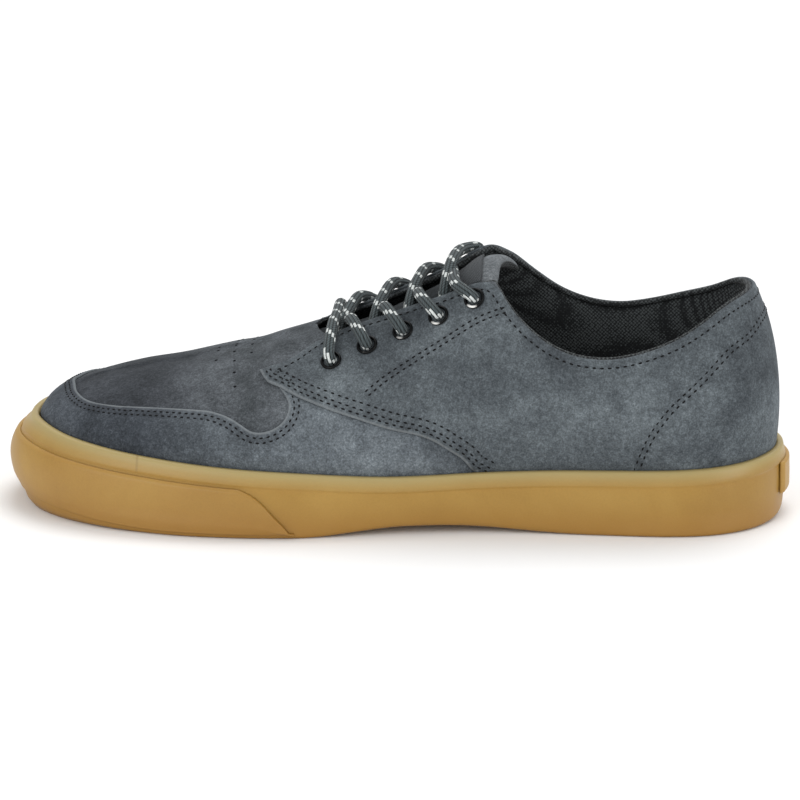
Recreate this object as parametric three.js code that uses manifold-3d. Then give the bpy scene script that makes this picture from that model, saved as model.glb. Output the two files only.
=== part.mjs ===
// A low skateboarding shoe with a cupped gum-rubber sole: the left shoe, empty, standing on a floor.
// Millimetres. +X points to the toe, +Y to the outer side of the foot, +Z up.
// The origin lies on the floor, under the middle of the shoe.

import * as THREE from 'three';
import { mergeVertices } from 'three/addons/utils/BufferGeometryUtils.js';
import Module from 'manifold-3d';

const wasm = await Module();
wasm.setup();

// Driving dimensions of the whole shoe
const SHOE_LENGTH = 303;
const BALL_WIDTH = 96; // the upper at the ball, on the rubber's top line
const HEEL_WIDTH = 70; // the upper at the heel, on the same line
const HEEL_TOP = 92; // back of the collar, above the floor
const INSTEP_TOP = 95; // top corners of the eyestay, above the floor
const RUBBER_TOP = 26; // top edge of the rubber at the ball, above the floor

// Leather and cloth
const UPPER_WALL = 1.8; // the hollow upper: suede vamp and its lining
const PANEL = 1.2; // a panel sewn over the upper
const COUNTER_RISE = 0.5; // the heel counter stands this far out of the quarters
const MUDGUARD_SINK = 0.4; // the mudguard lies this far below the quarters
const TONGUE_WALL = 4.6;
const TONGUE_EDGE = 1.8;
const INSOLE = 4.2;
const LABEL = 0.8;

// Rubber
const HEEL_RUBBER = 3.6; // sole behind the upper, at its fullest
const TOE_RUBBER = 9.8; // sole in front of the upper, at its fullest
const SIDE_RUBBER = 5.4; // sole beside the upper, at the ball
const RUBBER_EDGE = 3.2; // thickness of the cup at its top edge
const BAND_HEIGHT = 5.4; // plain band along the top of the sole's side
const BAND_STEP = 0.7; // the band stands this far out
const BUMPER = 1.3; // toe bumper, laid over the sole's side
const HEEL_PATCH = 1.7; // plain patch on the back of the sole
const HEEL_PATCH_WIDTH = 44;
const ARCH_RISE = 3.4; // the waist clears the floor by this much
const HEEL_FLOOR = 11.5; // floor of the cup under the heel
const BALL_FLOOR = 8; // floor of the cup under the ball
const GROOVE_WIDTH = 2.4; // flex grooves across the bottom
const GROOVE_DEPTH = 1.6;
const GROOVE_PITCH = 15;

// Lacing
const EYELET_ROWS = 5;
const EYELET_PITCH = 13.5; // along the shoe
const EYELET_SETBACK_FRONT = 15.2; // first eyelet to the throat edge
const EYELET_SETBACK_TOP = 6.2; // last eyelet to the throat edge
const EYELET_HOLE = 5.8;
const EYELET_WALL = 0.4;
const EYELET_FLANGE = 8.2;
const EYELET_RISE = 0.7; // thickness of the flange
const LACE = 4.2;

// Clearance between two pieces that touch on the real shoe
const GAP = 0.35;

// Steps of the meshes
const COLUMNS_PER_STATION = 2;
const ROWS = [0, 0.07, 0.2, 0.33, 0.46, 0.6, 0.76, 1]; // rises of the outer meshes
const LINING_ROWS = [0, 0.25, 0.5, 0.75, 1];
const SIDES_OF_ROUND = 8;
const LACE_SIDES = 8;

// Tables
function table(names, ...rows) {
  const columns = names.map((name, index) => [name, rows.map((row) => row[index])]);
  return Object.fromEntries(columns);
}

// The last, in stations from the heel (first row) to the toe (last row).
// along: share of the last's length. outer, inner: half widths, as shares of the local width.
// spine, spineSide: the line on top where the two sides of a section meet.
const plan = table(
  ['along', 'outer', 'inner', 'spine', 'spineSide'],
  [0.000, 0.000, 0.000, 0.127, 0.000],
  [0.010, 0.194, 0.191, 0.128, 0.000],
  [0.039, 0.357, 0.351, 0.131, 0.000],
  [0.082, 0.457, 0.447, 0.141, 0.000],
  [0.138, 0.500, 0.486, 0.166, 0.000],
  [0.218, 0.514, 0.477, 0.225, 0.000],
  [0.302, 0.521, 0.457, 0.302, 0.000],
  [0.385, 0.510, 0.423, 0.385, 0.000],
  [0.469, 0.493, 0.404, 0.469, -0.010],
  [0.553, 0.483, 0.419, 0.553, -0.020],
  [0.636, 0.495, 0.464, 0.633, -0.031],
  [0.720, 0.495, 0.503, 0.710, -0.042],
  [0.804, 0.466, 0.512, 0.776, -0.046],
  [0.880, 0.402, 0.478, 0.828, -0.050],
  [0.943, 0.296, 0.380, 0.863, -0.050],
  [0.985, 0.145, 0.215, 0.882, -0.048],
  [1.000, -0.036, 0.036, 0.889, -0.046],
);

// Height of the spine line, as shares of the instep's height
const ridge = table(
  ['along', 'height'],
  [0.120, 1.194],
  [0.214, 1.204],
  [0.302, 1.209],
  [0.389, 1.141],
  [0.455, 1.004],
  [0.518, 0.894],
  [0.574, 0.809],
  [0.622, 0.750],
  [0.688, 0.686],
  [0.757, 0.627],
  [0.804, 0.590],
  [0.845, 0.567],
  [0.889, 0.539],
);

// Top line of the rubber, as shares of its height at the ball
const rubberLine = table(
  ['station', 'height'],
  [0, 1.042],
  [1, 1.042],
  [2, 1.016],
  [4, 0.960],
  [6, 0.940],
  [7, 0.912],
  [8.5, 0.875],
  [10, 0.949],
  [11, 0.997],
  [12.5, 1.110],
  [14, 1.225],
  [15, 1.290],
  [16, 1.270],
);

// Fullness of a section: lean in degrees at the rubber line, then how far the side and the crown
// carry on straight, as shares of the section's height and half width
const fullness = table(
  ['station', 'outerLean', 'innerLean', 'outerSide', 'innerSide', 'outerCrown', 'innerCrown'],
  [0, 6, 6, 0.57, 0.57, 0.52, 0.52],
  [2, 7, 7, 0.59, 0.59, 0.55, 0.55],
  [4, 8, 8, 0.58, 0.60, 0.58, 0.60],
  [6, 8, 10, 0.55, 0.66, 0.60, 0.70],
  [7, 8, 12, 0.52, 0.70, 0.58, 0.76],
  [8, 8, 12, 0.48, 0.66, 0.52, 0.66],
  [10, 8, 10, 0.50, 0.58, 0.50, 0.56],
  [12, 6, 8, 0.52, 0.54, 0.52, 0.54],
  [14, -8, -8, 0.45, 0.45, 0.55, 0.55],
  [16, -20, -20, 0.42, 0.42, 0.55, 0.55],
);

// Collar line on each side, as shares of the last's length and of the heel's height
const outerCollar = table(
  ['along', 'height'],
  [-0.02, 0.966],
  [0.044, 0.965],
  [0.058, 0.953],
  [0.076, 0.927],
  [0.099, 0.880],
  [0.134, 0.815],
  [0.173, 0.766],
  [0.234, 0.732],
  [0.285, 0.763],
  [0.312, 0.809],
  [0.336, 0.870],
  [0.359, 0.950],
  [0.373, 1.012],
  [0.386, 1.060],
  [0.406, 1.130],
);
const innerCollar = table(
  ['along', 'height'],
  [-0.02, 0.966],
  [0.044, 0.960],
  [0.089, 0.886],
  [0.131, 0.843],
  [0.172, 0.809],
  [0.213, 0.791],
  [0.254, 0.806],
  [0.295, 0.857],
  [0.331, 0.938],
  [0.361, 1.016],
  [0.378, 1.046],
  [0.406, 1.124],
);

// Half width of the throat, as shares of the ball's width. The quarters' edge turns out to
// their tips in front of the throat.
const throat = table(
  ['along', 'half'],
  [0.302, 0.262],
  [0.385, 0.236],
  [0.511, 0.182],
  [0.600, 0.182],
  [0.622, 0.208],
  [0.640, 0.245],
  [0.662, 0.278],
  [0.690, 0.292],
);
const THROAT_END = 0.622;
const THROAT_ROUNDING = 0.024;

// Front and lower edge of a quarter, from the sole up to its tip, as shares of the instep's height
const quarterFront = table(
  ['along', 'height'],
  [0.395, 0.200],
  [0.402, 0.250],
  [0.412, 0.294],
  [0.431, 0.337],
  [0.450, 0.375],
  [0.513, 0.431],
  [0.563, 0.478],
  [0.628, 0.540],
  [0.660, 0.574],
  [0.678, 0.587],
  [0.689, 0.617],
);

// Top edge of the mudguard, from behind its wave round to the toe
const mudguardTop = table(
  ['along', 'height'],
  [0.652, 0.640],
  [0.654, 0.480],
  [0.666, 0.441],
  [0.678, 0.420],
  [0.691, 0.411],
  [0.709, 0.437],
  [0.725, 0.472],
  [0.741, 0.482],
  [0.796, 0.482],
  [0.835, 0.477],
  [0.873, 0.464],
  [0.901, 0.455],
  [0.931, 0.456],
  [0.950, 0.470],
);

// Top edge of the heel counter, from the sole up to the back of the heel
const counterTop = table(
  ['along', 'height'],
  [-0.02, 0.868],
  [0.027, 0.861],
  [0.039, 0.824],
  [0.066, 0.775],
  [0.095, 0.684],
  [0.124, 0.589],
  [0.154, 0.498],
  [0.173, 0.400],
  [0.188, 0.272],
  [0.196, 0.180],
);

// Side of the sole outside the upper, as shares of the rubber's fullness at that station,
// and the height of its lower edge in millimetres of spring at heel and toe
const soleSide = table(
  ['station', 'fullness', 'foot', 'spring'],
  [0, 1.00, 0.72, 1.00],
  [1, 1.00, 1.00, 0.40],
  [2.5, 1.02, 1.18, 0.08],
  [4, 1.05, 1.26, 0.00],
  [6, 0.92, 0.78, 0.00],
  [8.5, 0.84, 0.66, 0.00],
  [10.5, 1.05, 1.22, 0.00],
  [12, 1.10, 1.36, 0.00],
  [13, 1.08, 1.26, 0.22],
  [14, 1.03, 1.02, 0.58],
  [15, 1.02, 0.84, 0.84],
  [16, 1.00, 0.52, 1.00],
);
const HEEL_SPRING = 2.2;
const TOE_SPRING = 6.8;

// Lift of the tongue's crown below the last's spine line
const tongueCrown = table(
  ['along', 'drop'],
  [0.340, 0.190],
  [0.385, 0.126],
  [0.417, 0.098],
  [0.469, 0.075],
  [0.520, 0.068],
  [0.600, 0.062],
  [0.640, 0.050],
  [0.690, 0.048],
);

// Smooth line through a table's rows
function read(rows, column, at, key = Object.keys(rows)[0]) {
  const places = rows[key];
  const values = rows[column];
  const last = places.length - 1;
  if (at <= places[0]) return values[0];
  if (at >= places[last]) return values[last];
  let row = 0;
  while (places[row + 1] < at) row += 1;
  const rise = (k) => (values[k + 1] - values[k]) / (places[k + 1] - places[k]);
  const slope = (k) => {
    if (k === 0) return rise(0);
    if (k === last) return rise(last - 1);
    const before = places[k] - places[k - 1];
    const after = places[k + 1] - places[k];
    return (rise(k - 1) * after + rise(k) * before) / (before + after);
  };
  const step = places[row + 1] - places[row];
  const t = (at - places[row]) / step;
  const startPart = (2 * t ** 3 - 3 * t ** 2 + 1) * values[row] + (t ** 3 - 2 * t ** 2 + t) * step * slope(row);
  const endPart = (3 * t ** 2 - 2 * t ** 3) * values[row + 1] + (t ** 3 - t ** 2) * step * slope(row + 1);
  return startPart + endPart;
}

const mix = (a, b, t) => a + (b - a) * t;

function ease(from, to, at) {
  const t = Math.min(Math.max((at - from) / (to - from), 0), 1);
  return t * t * (3 - 2 * t);
}

// Places along the shoe
const BUMPER_RISE = BUMPER + GAP;
const PATCH_RISE = HEEL_PATCH + GAP;
const LAST_LENGTH = SHOE_LENGTH - HEEL_RUBBER - PATCH_RISE - TOE_RUBBER - BUMPER_RISE;
const LAST_BACK = HEEL_RUBBER + PATCH_RISE - SHOE_LENGTH / 2;
const alongOf = (x) => (x - LAST_BACK) / LAST_LENGTH;
const xOf = (along) => LAST_BACK + along * LAST_LENGTH;
const TOE_STATION = plan.along.length - 1;
const RING = 2 * TOE_STATION;

// A place round the last runs 0 to TOE_STATION on the outer side and on to RING on the inner side
const wrap = (place) => ((place % RING) + RING) % RING;
const stationOf = (place) => Math.min(wrap(place), RING - wrap(place));
const isInner = (place) => wrap(place) > TOE_STATION;

const HEEL_TO_BALL = { from: 0.3, to: 0.62 };
const widthAt = (along) => mix(HEEL_WIDTH, BALL_WIDTH, ease(HEEL_TO_BALL.from, HEEL_TO_BALL.to, along));

// Smooth closed line through the stations of both sides
function roundTheLast(place, valueAt) {
  const knot = Math.floor(place);
  const t = place - knot;
  const [a, b, c, d] = [-1, 0, 1, 2].map((step) => valueAt(wrap(knot + step)));
  return 0.5 * (2 * b + (c - a) * t + (2 * a - 5 * b + 4 * c - d) * t ** 2 + (3 * b - a - 3 * c + d) * t ** 3);
}

const knotX = (knot) => xOf(plan.along[stationOf(knot)]);
const knotY = (knot) => {
  const station = stationOf(knot);
  const width = widthAt(plan.along[station]);
  return isInner(knot) ? -plan.inner[station] * width : plan.outer[station] * width;
};
const spineX = (knot) => xOf(plan.spine[stationOf(knot)]);
const spineY = (knot) => plan.spineSide[stationOf(knot)] * BALL_WIDTH;
const ridgeHeight = (x) => read(ridge, 'height', alongOf(x)) * INSTEP_TOP;
const ridgeSlope = (x) => ridgeHeight(x + 0.5) - ridgeHeight(x - 0.5);
const rubberTop = (place) => read(rubberLine, 'height', stationOf(place)) * RUBBER_TOP;

// One section of the last: a plane that stands on the spine line and runs out to the rubber line
const sections = new Map();
function section(place) {
  const at = wrap(place);
  if (sections.has(at)) return sections.get(at);
  const station = stationOf(at);
  const rim = new THREE.Vector2(roundTheLast(at, knotX), roundTheLast(at, knotY));
  const spine = new THREE.Vector2(roundTheLast(station, spineX), roundTheLast(station, spineY));
  const reach = rim.distanceTo(spine);
  const out = rim.clone().sub(spine).divideScalar(reach);
  const side = isInner(at) ? 'inner' : 'outer';
  const foot = rubberTop(at);
  const top = ridgeHeight(spine.x);
  const height = top - foot;
  const lean = THREE.MathUtils.degToRad(read(fullness, `${side}Lean`, station));
  const sideRun = read(fullness, `${side}Side`, station) * height;
  const crownRun = read(fullness, `${side}Crown`, station) * reach;
  const curve = new THREE.CubicBezierCurve(
    new THREE.Vector2(reach, foot),
    new THREE.Vector2(reach + Math.sin(lean) * sideRun, foot + Math.cos(lean) * sideRun),
    new THREE.Vector2(crownRun, top + ridgeSlope(spine.x) * out.x * crownRun),
    new THREE.Vector2(0, top),
  );
  const result = { spine, out, reach, foot, curve };
  sections.set(at, result);
  return result;
}

// Floor of the rubber cup and underside of the sole, along the shoe
const FLOOR_RISE_AT_TOE = 5;
const cupFloor = (x) => {
  const along = alongOf(x);
  const toBall = mix(HEEL_FLOOR, BALL_FLOOR, ease(0.3, 0.6, along));
  return toBall + FLOOR_RISE_AT_TOE * ease(0.8, 1, along);
};
const soleUnder = (x) => {
  const along = alongOf(x);
  return ARCH_RISE * ease(0.25, 0.45, along) * (1 - ease(0.48, 0.63, along));
};

// The bare last. rise runs 0 at the rubber line to 1 on the spine line, and down to -1 in the cup.
const TUCK = 3; // the upper draws in this far between the rubber line and the cup's floor
function onLast(place, rise) {
  const { spine, out, reach, foot, curve } = section(place);
  if (rise >= 0) {
    const point = curve.getPoint(rise);
    return new THREE.Vector3(spine.x + out.x * point.x, spine.y + out.y * point.x, point.y);
  }
  const inward = reach + rise * TUCK;
  const x = spine.x + out.x * inward;
  const floor = cupFloor(x) + GAP;
  return new THREE.Vector3(x, spine.y + out.y * inward, mix(foot, floor, -rise));
}

// The last's surface moved out along its normal; a minus sign moves it in
const PROBE = 0.01;
function surface(place, rise, offset) {
  const point = onLast(place, rise);
  const normal = new THREE.Vector3();
  if (rise > 1 - PROBE) {
    normal.set(-ridgeSlope(section(place).spine.x), 0, 1).normalize();
  } else {
    const around = onLast(place + PROBE, rise).sub(onLast(place - PROBE, rise));
    const low = rise < 0 ? rise : Math.max(rise - PROBE, 0);
    const high = rise < 0 ? Math.min(rise + PROBE, 0) : rise + PROBE;
    const up = onLast(place, high).sub(onLast(place, low === high ? low - PROBE : low));
    normal.crossVectors(up, around).normalize();
  }
  if (rise < 0) normal.setZ(0).normalize();
  return point.addScaledVector(normal, offset);
}

// First rise at which a test turns true, found by steps and then by halving
function firstRise(test) {
  const STEPS = 60;
  let high = 1;
  let found = false;
  for (let k = 1; k <= STEPS && !found; k += 1) {
    high = k / STEPS;
    found = test(high);
  }
  if (!found) return 1;
  let low = high - 1 / STEPS;
  for (let k = 0; k < 14; k += 1) {
    const middle = (low + high) / 2;
    if (test(middle)) high = middle;
    else low = middle;
  }
  return high;
}

// Rise of a line drawn on the side of the shoe, as a height for each place along it
function riseOfLine(place, line, size, key = 'height') {
  return firstRise((rise) => {
    const point = onLast(place, rise);
    return point.z >= read(line, key, alongOf(point.x)) * size;
  });
}

// Open edges of the upper: the collar, and the throat in front of it
const COLLAR_END_STATION = 8.2;
const LEDGE = 0.001;
function collarRise(place) {
  if (stationOf(place) > COLLAR_END_STATION) return 1;
  return riseOfLine(place, isInner(place) ? innerCollar : outerCollar, HEEL_TOP);
}
function throatRise(place, closesAtEnd) {
  return firstRise((rise) => {
    const point = onLast(place, rise);
    const { spine } = section(place);
    const along = alongOf(point.x);
    const closing = Math.max((THROAT_END - along) / THROAT_ROUNDING, 0);
    const narrowed = closesAtEnd ? Math.sqrt(Math.min(closing, 1)) : 1;
    const half = read(throat, 'half', Math.min(along, closesAtEnd ? THROAT_END - THROAT_ROUNDING : 1));
    return Math.hypot(point.x - spine.x, point.y - spine.y) <= half * BALL_WIDTH * narrowed + LEDGE;
  });
}
const upperEdge = (place) => Math.min(collarRise(place), throatRise(place, true));
const quarterEdge = (place) => Math.min(collarRise(place), throatRise(place, false));

// Meshes from loops of points
class Skin {
  constructor() {
    this.corners = [];
  }

  triangle(a, b, c) {
    const same = Math.min(a.distanceTo(b), b.distanceTo(c), c.distanceTo(a));
    if (same > 1e-4) this.corners.push(a, b, c);
  }

  // A quad is split from b to d, so that layers nest, or the other way where that leaves a line
  quad(a, b, c, d) {
    const area = (p, q, r) => new THREE.Triangle(p, q, r).getArea();
    const isLine = (size) => size < 1e-3;
    if (isLine(area(a, b, d)) !== isLine(area(b, c, d)) && !isLine(area(a, b, c))) {
      this.triangle(a, b, c);
      this.triangle(a, c, d);
    } else {
      this.triangle(a, b, d);
      this.triangle(b, c, d);
    }
  }

  geometry() {
    const flat = this.corners.flatMap((corner) => [corner.x, corner.y, corner.z]);
    const geometry = new THREE.BufferGeometry();
    geometry.setAttribute('position', new THREE.Float32BufferAttribute(flat, 3));
    return geometry;
  }
}

// A closed ring of closed loops of points. keep can leave out a strip of the loop.
function ringLoft(loops, keep = () => true) {
  const skin = new Skin();
  const count = loops[0].length;
  for (let j = 0; j < loops.length; j += 1) {
    const here = loops[j];
    const next = loops[(j + 1) % loops.length];
    for (let k = 0; k < count; k += 1) {
      const up = (k + 1) % count;
      if (keep(k)) skin.quad(here[k], here[up], next[up], next[k]);
    }
  }
  return skin.geometry();
}

function spread(from, to, count) {
  return Array.from({ length: count + 1 }, (_, k) => mix(from, to, k / count));
}

// Strip of triangles between two lines of points whose rises need not match. inward turns its
// faces round and keeps its diagonals, so that an inside nests on the outside of what it covers.
function zip(skin, here, next, inward = false) {
  const face = (a, b, c) => (inward ? skin.triangle(a, c, b) : skin.triangle(a, b, c));
  let i = 0;
  let j = 0;
  while (i < here.length - 1 || j < next.length - 1) {
    const climb = j === next.length - 1 || (i < here.length - 1 && here[i + 1].rise <= next[j + 1].rise);
    if (climb) {
      face(here[i].point, here[i + 1].point, next[j].point);
      i += 1;
    } else {
      face(here[i].point, next[j + 1].point, next[j].point);
      j += 1;
    }
  }
}

// A wall between two larger forms of one surface, cut to its own low and high edges. Walls that
// lie on each other share their places and rows, so that their facets nest.
const THIN = 0.006;
function wall({ places, ring = false, low, high, at, inner, outer, rows = ROWS, innerRows = rows }) {
  const columns = places.map((place) => {
    const from = low(place);
    const to = high(place);
    const line = (knots, offset) => {
      const between = knots.filter((rise) => rise > from + THIN && rise < to - THIN);
      return [from, ...between, to].map((rise) => ({ rise, point: at(place, rise, offset(place, rise)) }));
    };
    return { from, to, outside: line(rows, outer), inside: line(innerRows, inner) };
  }).filter(({ from, to }) => to - from > THIN);
  const skin = new Skin();
  const count = columns.length;
  for (let j = 0; j < (ring ? count : count - 1); j += 1) {
    const here = columns[j];
    const next = columns[(j + 1) % count];
    const [a, b] = [here, next].map(({ outside, inside }) => ({
      low: [outside[0].point, inside[0].point],
      high: [outside[outside.length - 1].point, inside[inside.length - 1].point],
    }));
    zip(skin, here.outside, next.outside);
    zip(skin, here.inside, next.inside, true);
    skin.quad(a.low[1], a.low[0], b.low[0], b.low[1]);
    if (here.to < 1 || next.to < 1) skin.quad(a.high[0], a.high[1], b.high[1], b.high[0]);
  }
  if (!ring) {
    zip(skin, columns[0].inside, columns[0].outside);
    zip(skin, columns[count - 1].outside, columns[count - 1].inside);
  }
  return skin.geometry();
}

// Places round the last, shared by every wall
const allPlaces = spread(0, RING, RING * COLUMNS_PER_STATION).slice(0, -1);

function placesBetween(from, to, extra = []) {
  const twoRounds = [...allPlaces.map((place) => place - RING), ...allPlaces];
  const shared = twoRounds.filter((place) => place > from + THIN && place < to - THIN);
  return [from, ...shared, ...extra, to].sort((a, b) => a - b);
}
const bothSides = (list) => list.flatMap((station) => [station, RING - station]);

// Solids for joining and cutting
function toSolid(geometry) {
  const bare = geometry.clone();
  for (const name of ['normal', 'uv']) bare.deleteAttribute(name);
  const merged = mergeVertices(bare, 1e-4);
  const indices = Array.from(merged.index.array);
  const vertProperties = new Float32Array(merged.attributes.position.array);
  return new wasm.Manifold(new wasm.Mesh({ numProp: 3, vertProperties, triVerts: new Uint32Array(indices) }));
}

function toGeometry(solid) {
  const { vertProperties, triVerts } = solid.getMesh();
  const geometry = new THREE.BufferGeometry();
  geometry.setAttribute('position', new THREE.BufferAttribute(vertProperties, 3));
  geometry.setIndex(new THREE.BufferAttribute(triVerts, 1));
  return geometry;
}

// Heights of the layers on the last: the quarters' outside is the last's own surface
const UPPER_OUTSIDE = -(PANEL + GAP);
const UPPER_INSIDE = UPPER_OUTSIDE - UPPER_WALL;
const FLUSH_RISE = 0.07;
const layer = (height) => (place, rise) => height * ease(0, FLUSH_RISE, rise);
const panelInside = () => -PANEL;
const BELOW_RUBBER = -0.25;

// Upper: one hollow form, open at collar and throat, and underneath
function makeUpper() {
  return wall({
    places: allPlaces,
    ring: true,
    low: () => -1,
    high: (place) => {
      const edge = upperEdge(place);
      return edge > 1 - LEDGE ? 1 : edge;
    },
    at: surface,
    outer: () => UPPER_OUTSIDE,
    inner: () => UPPER_INSIDE,
    innerRows: LINING_ROWS,
  });
}

// Panels over the upper
const MEET = GAP / 60; // clearance between two panels' edges, as a share of the rise
const frontRise = (place) => {
  const along = alongOf(onLast(place, 0).x);
  if (along < quarterFront.along[0]) return BELOW_RUBBER;
  return riseOfLine(place, quarterFront, INSTEP_TOP);
};
const counterRise = (place) => {
  const along = alongOf(onLast(place, 0.2).x);
  if (along > counterTop.along[counterTop.along.length - 1]) return BELOW_RUBBER;
  return riseOfLine(place, counterTop, HEEL_TOP);
};
const COUNTER_END = 4.72;
const FRONT_START = 7.12;
const TIP_STATION = 10.68;

const BACK_SEAM = 0.04; // the quarters meet on the back of the heel, this far from its middle
function quarterPlaces(side) {
  const outer = placesBetween(BACK_SEAM, TIP_STATION, [4.3, 4.7, 6.75, 7.2, 7.3, 10.25]);
  return side === 'outer' ? outer : outer.map((place) => RING - place).reverse();
}

function makeQuarter(side) {
  return wall({
    places: quarterPlaces(side),
    low: (place) => {
      const station = stationOf(place);
      if (station < COUNTER_END) return Math.max(counterRise(place) + MEET, BELOW_RUBBER);
      if (station > FRONT_START) return frontRise(place) + MEET;
      return BELOW_RUBBER;
    },
    high: quarterEdge,
    at: surface,
    inner: panelInside,
    outer: layer(0),
  });
}

// The mudguard is cut through from the side, along its wave and along the quarters' front edges
const MUDGUARD_REACH = 0.76; // rise of the wall that it is cut from
const UNDER_QUARTER = 2 * GAP;
function sidePrism(outline) {
  const shape = new THREE.Shape(outline.map(([x, z]) => new THREE.Vector2(x, z)));
  const prism = new THREE.ExtrudeGeometry(shape, { depth: 2 * BALL_WIDTH, bevelEnabled: false });
  return toSolid(prism.rotateX(Math.PI / 2).translate(0, BALL_WIDTH, 0));
}
const outlineOf = (rows, from, to, drop = 0) => rows.along
  .map((along, row) => [along, rows.height[row] * INSTEP_TOP - drop])
  .filter(([along]) => along > from && along < to)
  .map(([along, height]) => [xOf(along), height]);

function makeMudguard() {
  const shell = wall({
    places: placesBetween(FRONT_START + 0.05, RING - FRONT_START - 0.05),
    low: () => BELOW_RUBBER,
    high: () => MUDGUARD_REACH,
    at: surface,
    inner: panelInside,
    outer: layer(-MUDGUARD_SINK),
  });
  const wave = mudguardTop.along[0];
  const toe = mudguardTop.along[mudguardTop.along.length - 1];
  const start = quarterFront.along[0];
  const meeting = read(quarterFront, 'height', wave) * INSTEP_TOP - UNDER_QUARTER;
  const outline = [
    [xOf(start), 0],
    ...outlineOf(quarterFront, start - 1, wave, UNDER_QUARTER),
    [xOf(wave), meeting],
    ...outlineOf(mudguardTop, wave, toe + 1),
    [xOf(toe), 2 * INSTEP_TOP],
    [xOf(0), 2 * INSTEP_TOP],
    [xOf(0), 0],
  ];
  return toGeometry(toSolid(shell).subtract(sidePrism(outline)));
}

function makeCounter() {
  return wall({
    places: placesBetween(-COUNTER_END + 0.06, COUNTER_END - 0.06, [-4.3, 4.3]),
    low: () => BELOW_RUBBER,
    high: (place) => counterRise(place) - MEET,
    at: surface,
    inner: panelInside,
    outer: layer(COUNTER_RISE),
  });
}

// Side of the rubber sole: level runs 0 at the lower edge to 1 at the top of the rubber
function rubberOut(place) {
  const station = stationOf(place);
  const toBall = ease(0.5, 4, station);
  const toToe = ease(12, 15.4, station);
  return mix(mix(HEEL_RUBBER, SIDE_RUBBER, toBall), TOE_RUBBER, toToe);
}
function lowerEdge(place, x) {
  const station = stationOf(place);
  const spring = station < 8 ? HEEL_SPRING : TOE_SPRING;
  return Math.max(soleUnder(x), read(soleSide, 'spring', station) * spring);
}
const EDGE_ROUND = 2;
const SIDE_ROWS = [0.35, 0.62]; // levels of the sole's side, shared with what lies on it
function onSole(place, level, offset) {
  const { spine, out, reach, foot } = section(place);
  const station = stationOf(place);
  const full = read(soleSide, 'fullness', station) * rubberOut(place);
  const atFoot = read(soleSide, 'foot', station) * rubberOut(place);
  const bulge = Math.sin(Math.PI * Math.min(level * 1.1, 1) ** 0.9) ** 0.8;
  const straight = mix(atFoot, RUBBER_EDGE, level);
  const outward = Math.max(straight, mix(straight, full, bulge)) + offset;
  const x = spine.x + out.x * (reach + outward);
  const low = lowerEdge(place, x);
  return new THREE.Vector3(x, spine.y + out.y * (reach + outward), mix(low, foot, level));
}
const bandLevel = (place) => {
  const low = onSole(place, 0, 0).z;
  return 1 - BAND_HEIGHT / (section(place).foot - low);
};

const edgeLevel = (place) => EDGE_ROUND / section(place).foot;

function makeSole() {
  const loops = allPlaces.map((place) => {
    const { spine, out, reach, foot } = section(place);
    const band = bandLevel(place);
    const lower = onSole(place, 0, 0);
    const inside = (share, z) => {
      const x = spine.x + out.x * share;
      return new THREE.Vector3(x, spine.y + out.y * share, z(x));
    };
    const under = (x) => soleUnder(x);
    const tread = Math.hypot(lower.x - spine.x, lower.y - spine.y) - EDGE_ROUND;
    const innerWall = (rise) => surface(place, rise, GAP);
    const well = innerWall(-1);
    return [
      inside(0, under),
      inside(tread * 0.72, under),
      inside(tread, (x) => mix(under(x), lowerEdge(place, x), 0.45)),
      onSole(place, edgeLevel(place), 0),
      ...SIDE_ROWS.map((level) => onSole(place, level, 0)),
      onSole(place, band - 0.02, 0),
      onSole(place, band + 0.03, BAND_STEP),
      onSole(place, 1, -BAND_STEP),
      innerWall(0),
      innerWall(-0.4),
      new THREE.Vector3(well.x, well.y, cupFloor(well.x)),
      inside(0, cupFloor),
    ];
  });
  const spineStrip = loops[0].length - 1;
  return ringLoft(loops, (k) => k !== spineStrip);
}

// Flex grooves across the flat of the heel and of the forefoot
const grooveStarts = { heel: 0.1, ball: 0.64 };
const grooveCounts = { heel: 4, ball: 5 };
function cutGrooves(sole) {
  let result = sole;
  for (const area of ['heel', 'ball']) {
    for (let k = 0; k < grooveCounts[area]; k += 1) {
      const x = xOf(grooveStarts[area]) + k * GROOVE_PITCH;
      const width = 0.68 * widthAt(alongOf(x));
      const bar = new THREE.BoxGeometry(GROOVE_WIDTH, width, 2 * GROOVE_DEPTH);
      bar.translate(x, spineY(area === 'heel' ? 0 : 12), 0);
      result = result.subtract(toSolid(bar));
    }
  }
  return result;
}

// Toe bumper: a second layer of rubber from below the band to the lower edge
const BUMPER_BACK_LOW = 0.632;
const BUMPER_BACK_HIGH = 0.69;
function makeBumper() {
  const endStation = 9.96;
  return wall({
    places: placesBetween(endStation, RING - endStation, bothSides([10.15, 10.35, 10.7])),
    low: edgeLevel,
    high: (place) => {
      const along = alongOf(onSole(place, 0.4, 0).x);
      const slant = (along - BUMPER_BACK_LOW) / (BUMPER_BACK_HIGH - BUMPER_BACK_LOW);
      return Math.min(bandLevel(place) - 0.05, mix(0, 0.9, slant));
    },
    rows: SIDE_ROWS,
    at: onSole,
    inner: () => GAP,
    outer: () => BUMPER_RISE,
  });
}

// Heel patch, left plain
function makeHeelPatch() {
  const endStation = 1.4 * (HEEL_PATCH_WIDTH / HEEL_WIDTH);
  return wall({
    places: placesBetween(-endStation, endStation),
    low: () => 0.34,
    high: (place) => bandLevel(place) + 0.02,
    rows: SIDE_ROWS,
    at: onSole,
    inner: () => BAND_STEP + GAP,
    outer: () => PATCH_RISE,
  });
}

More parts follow.
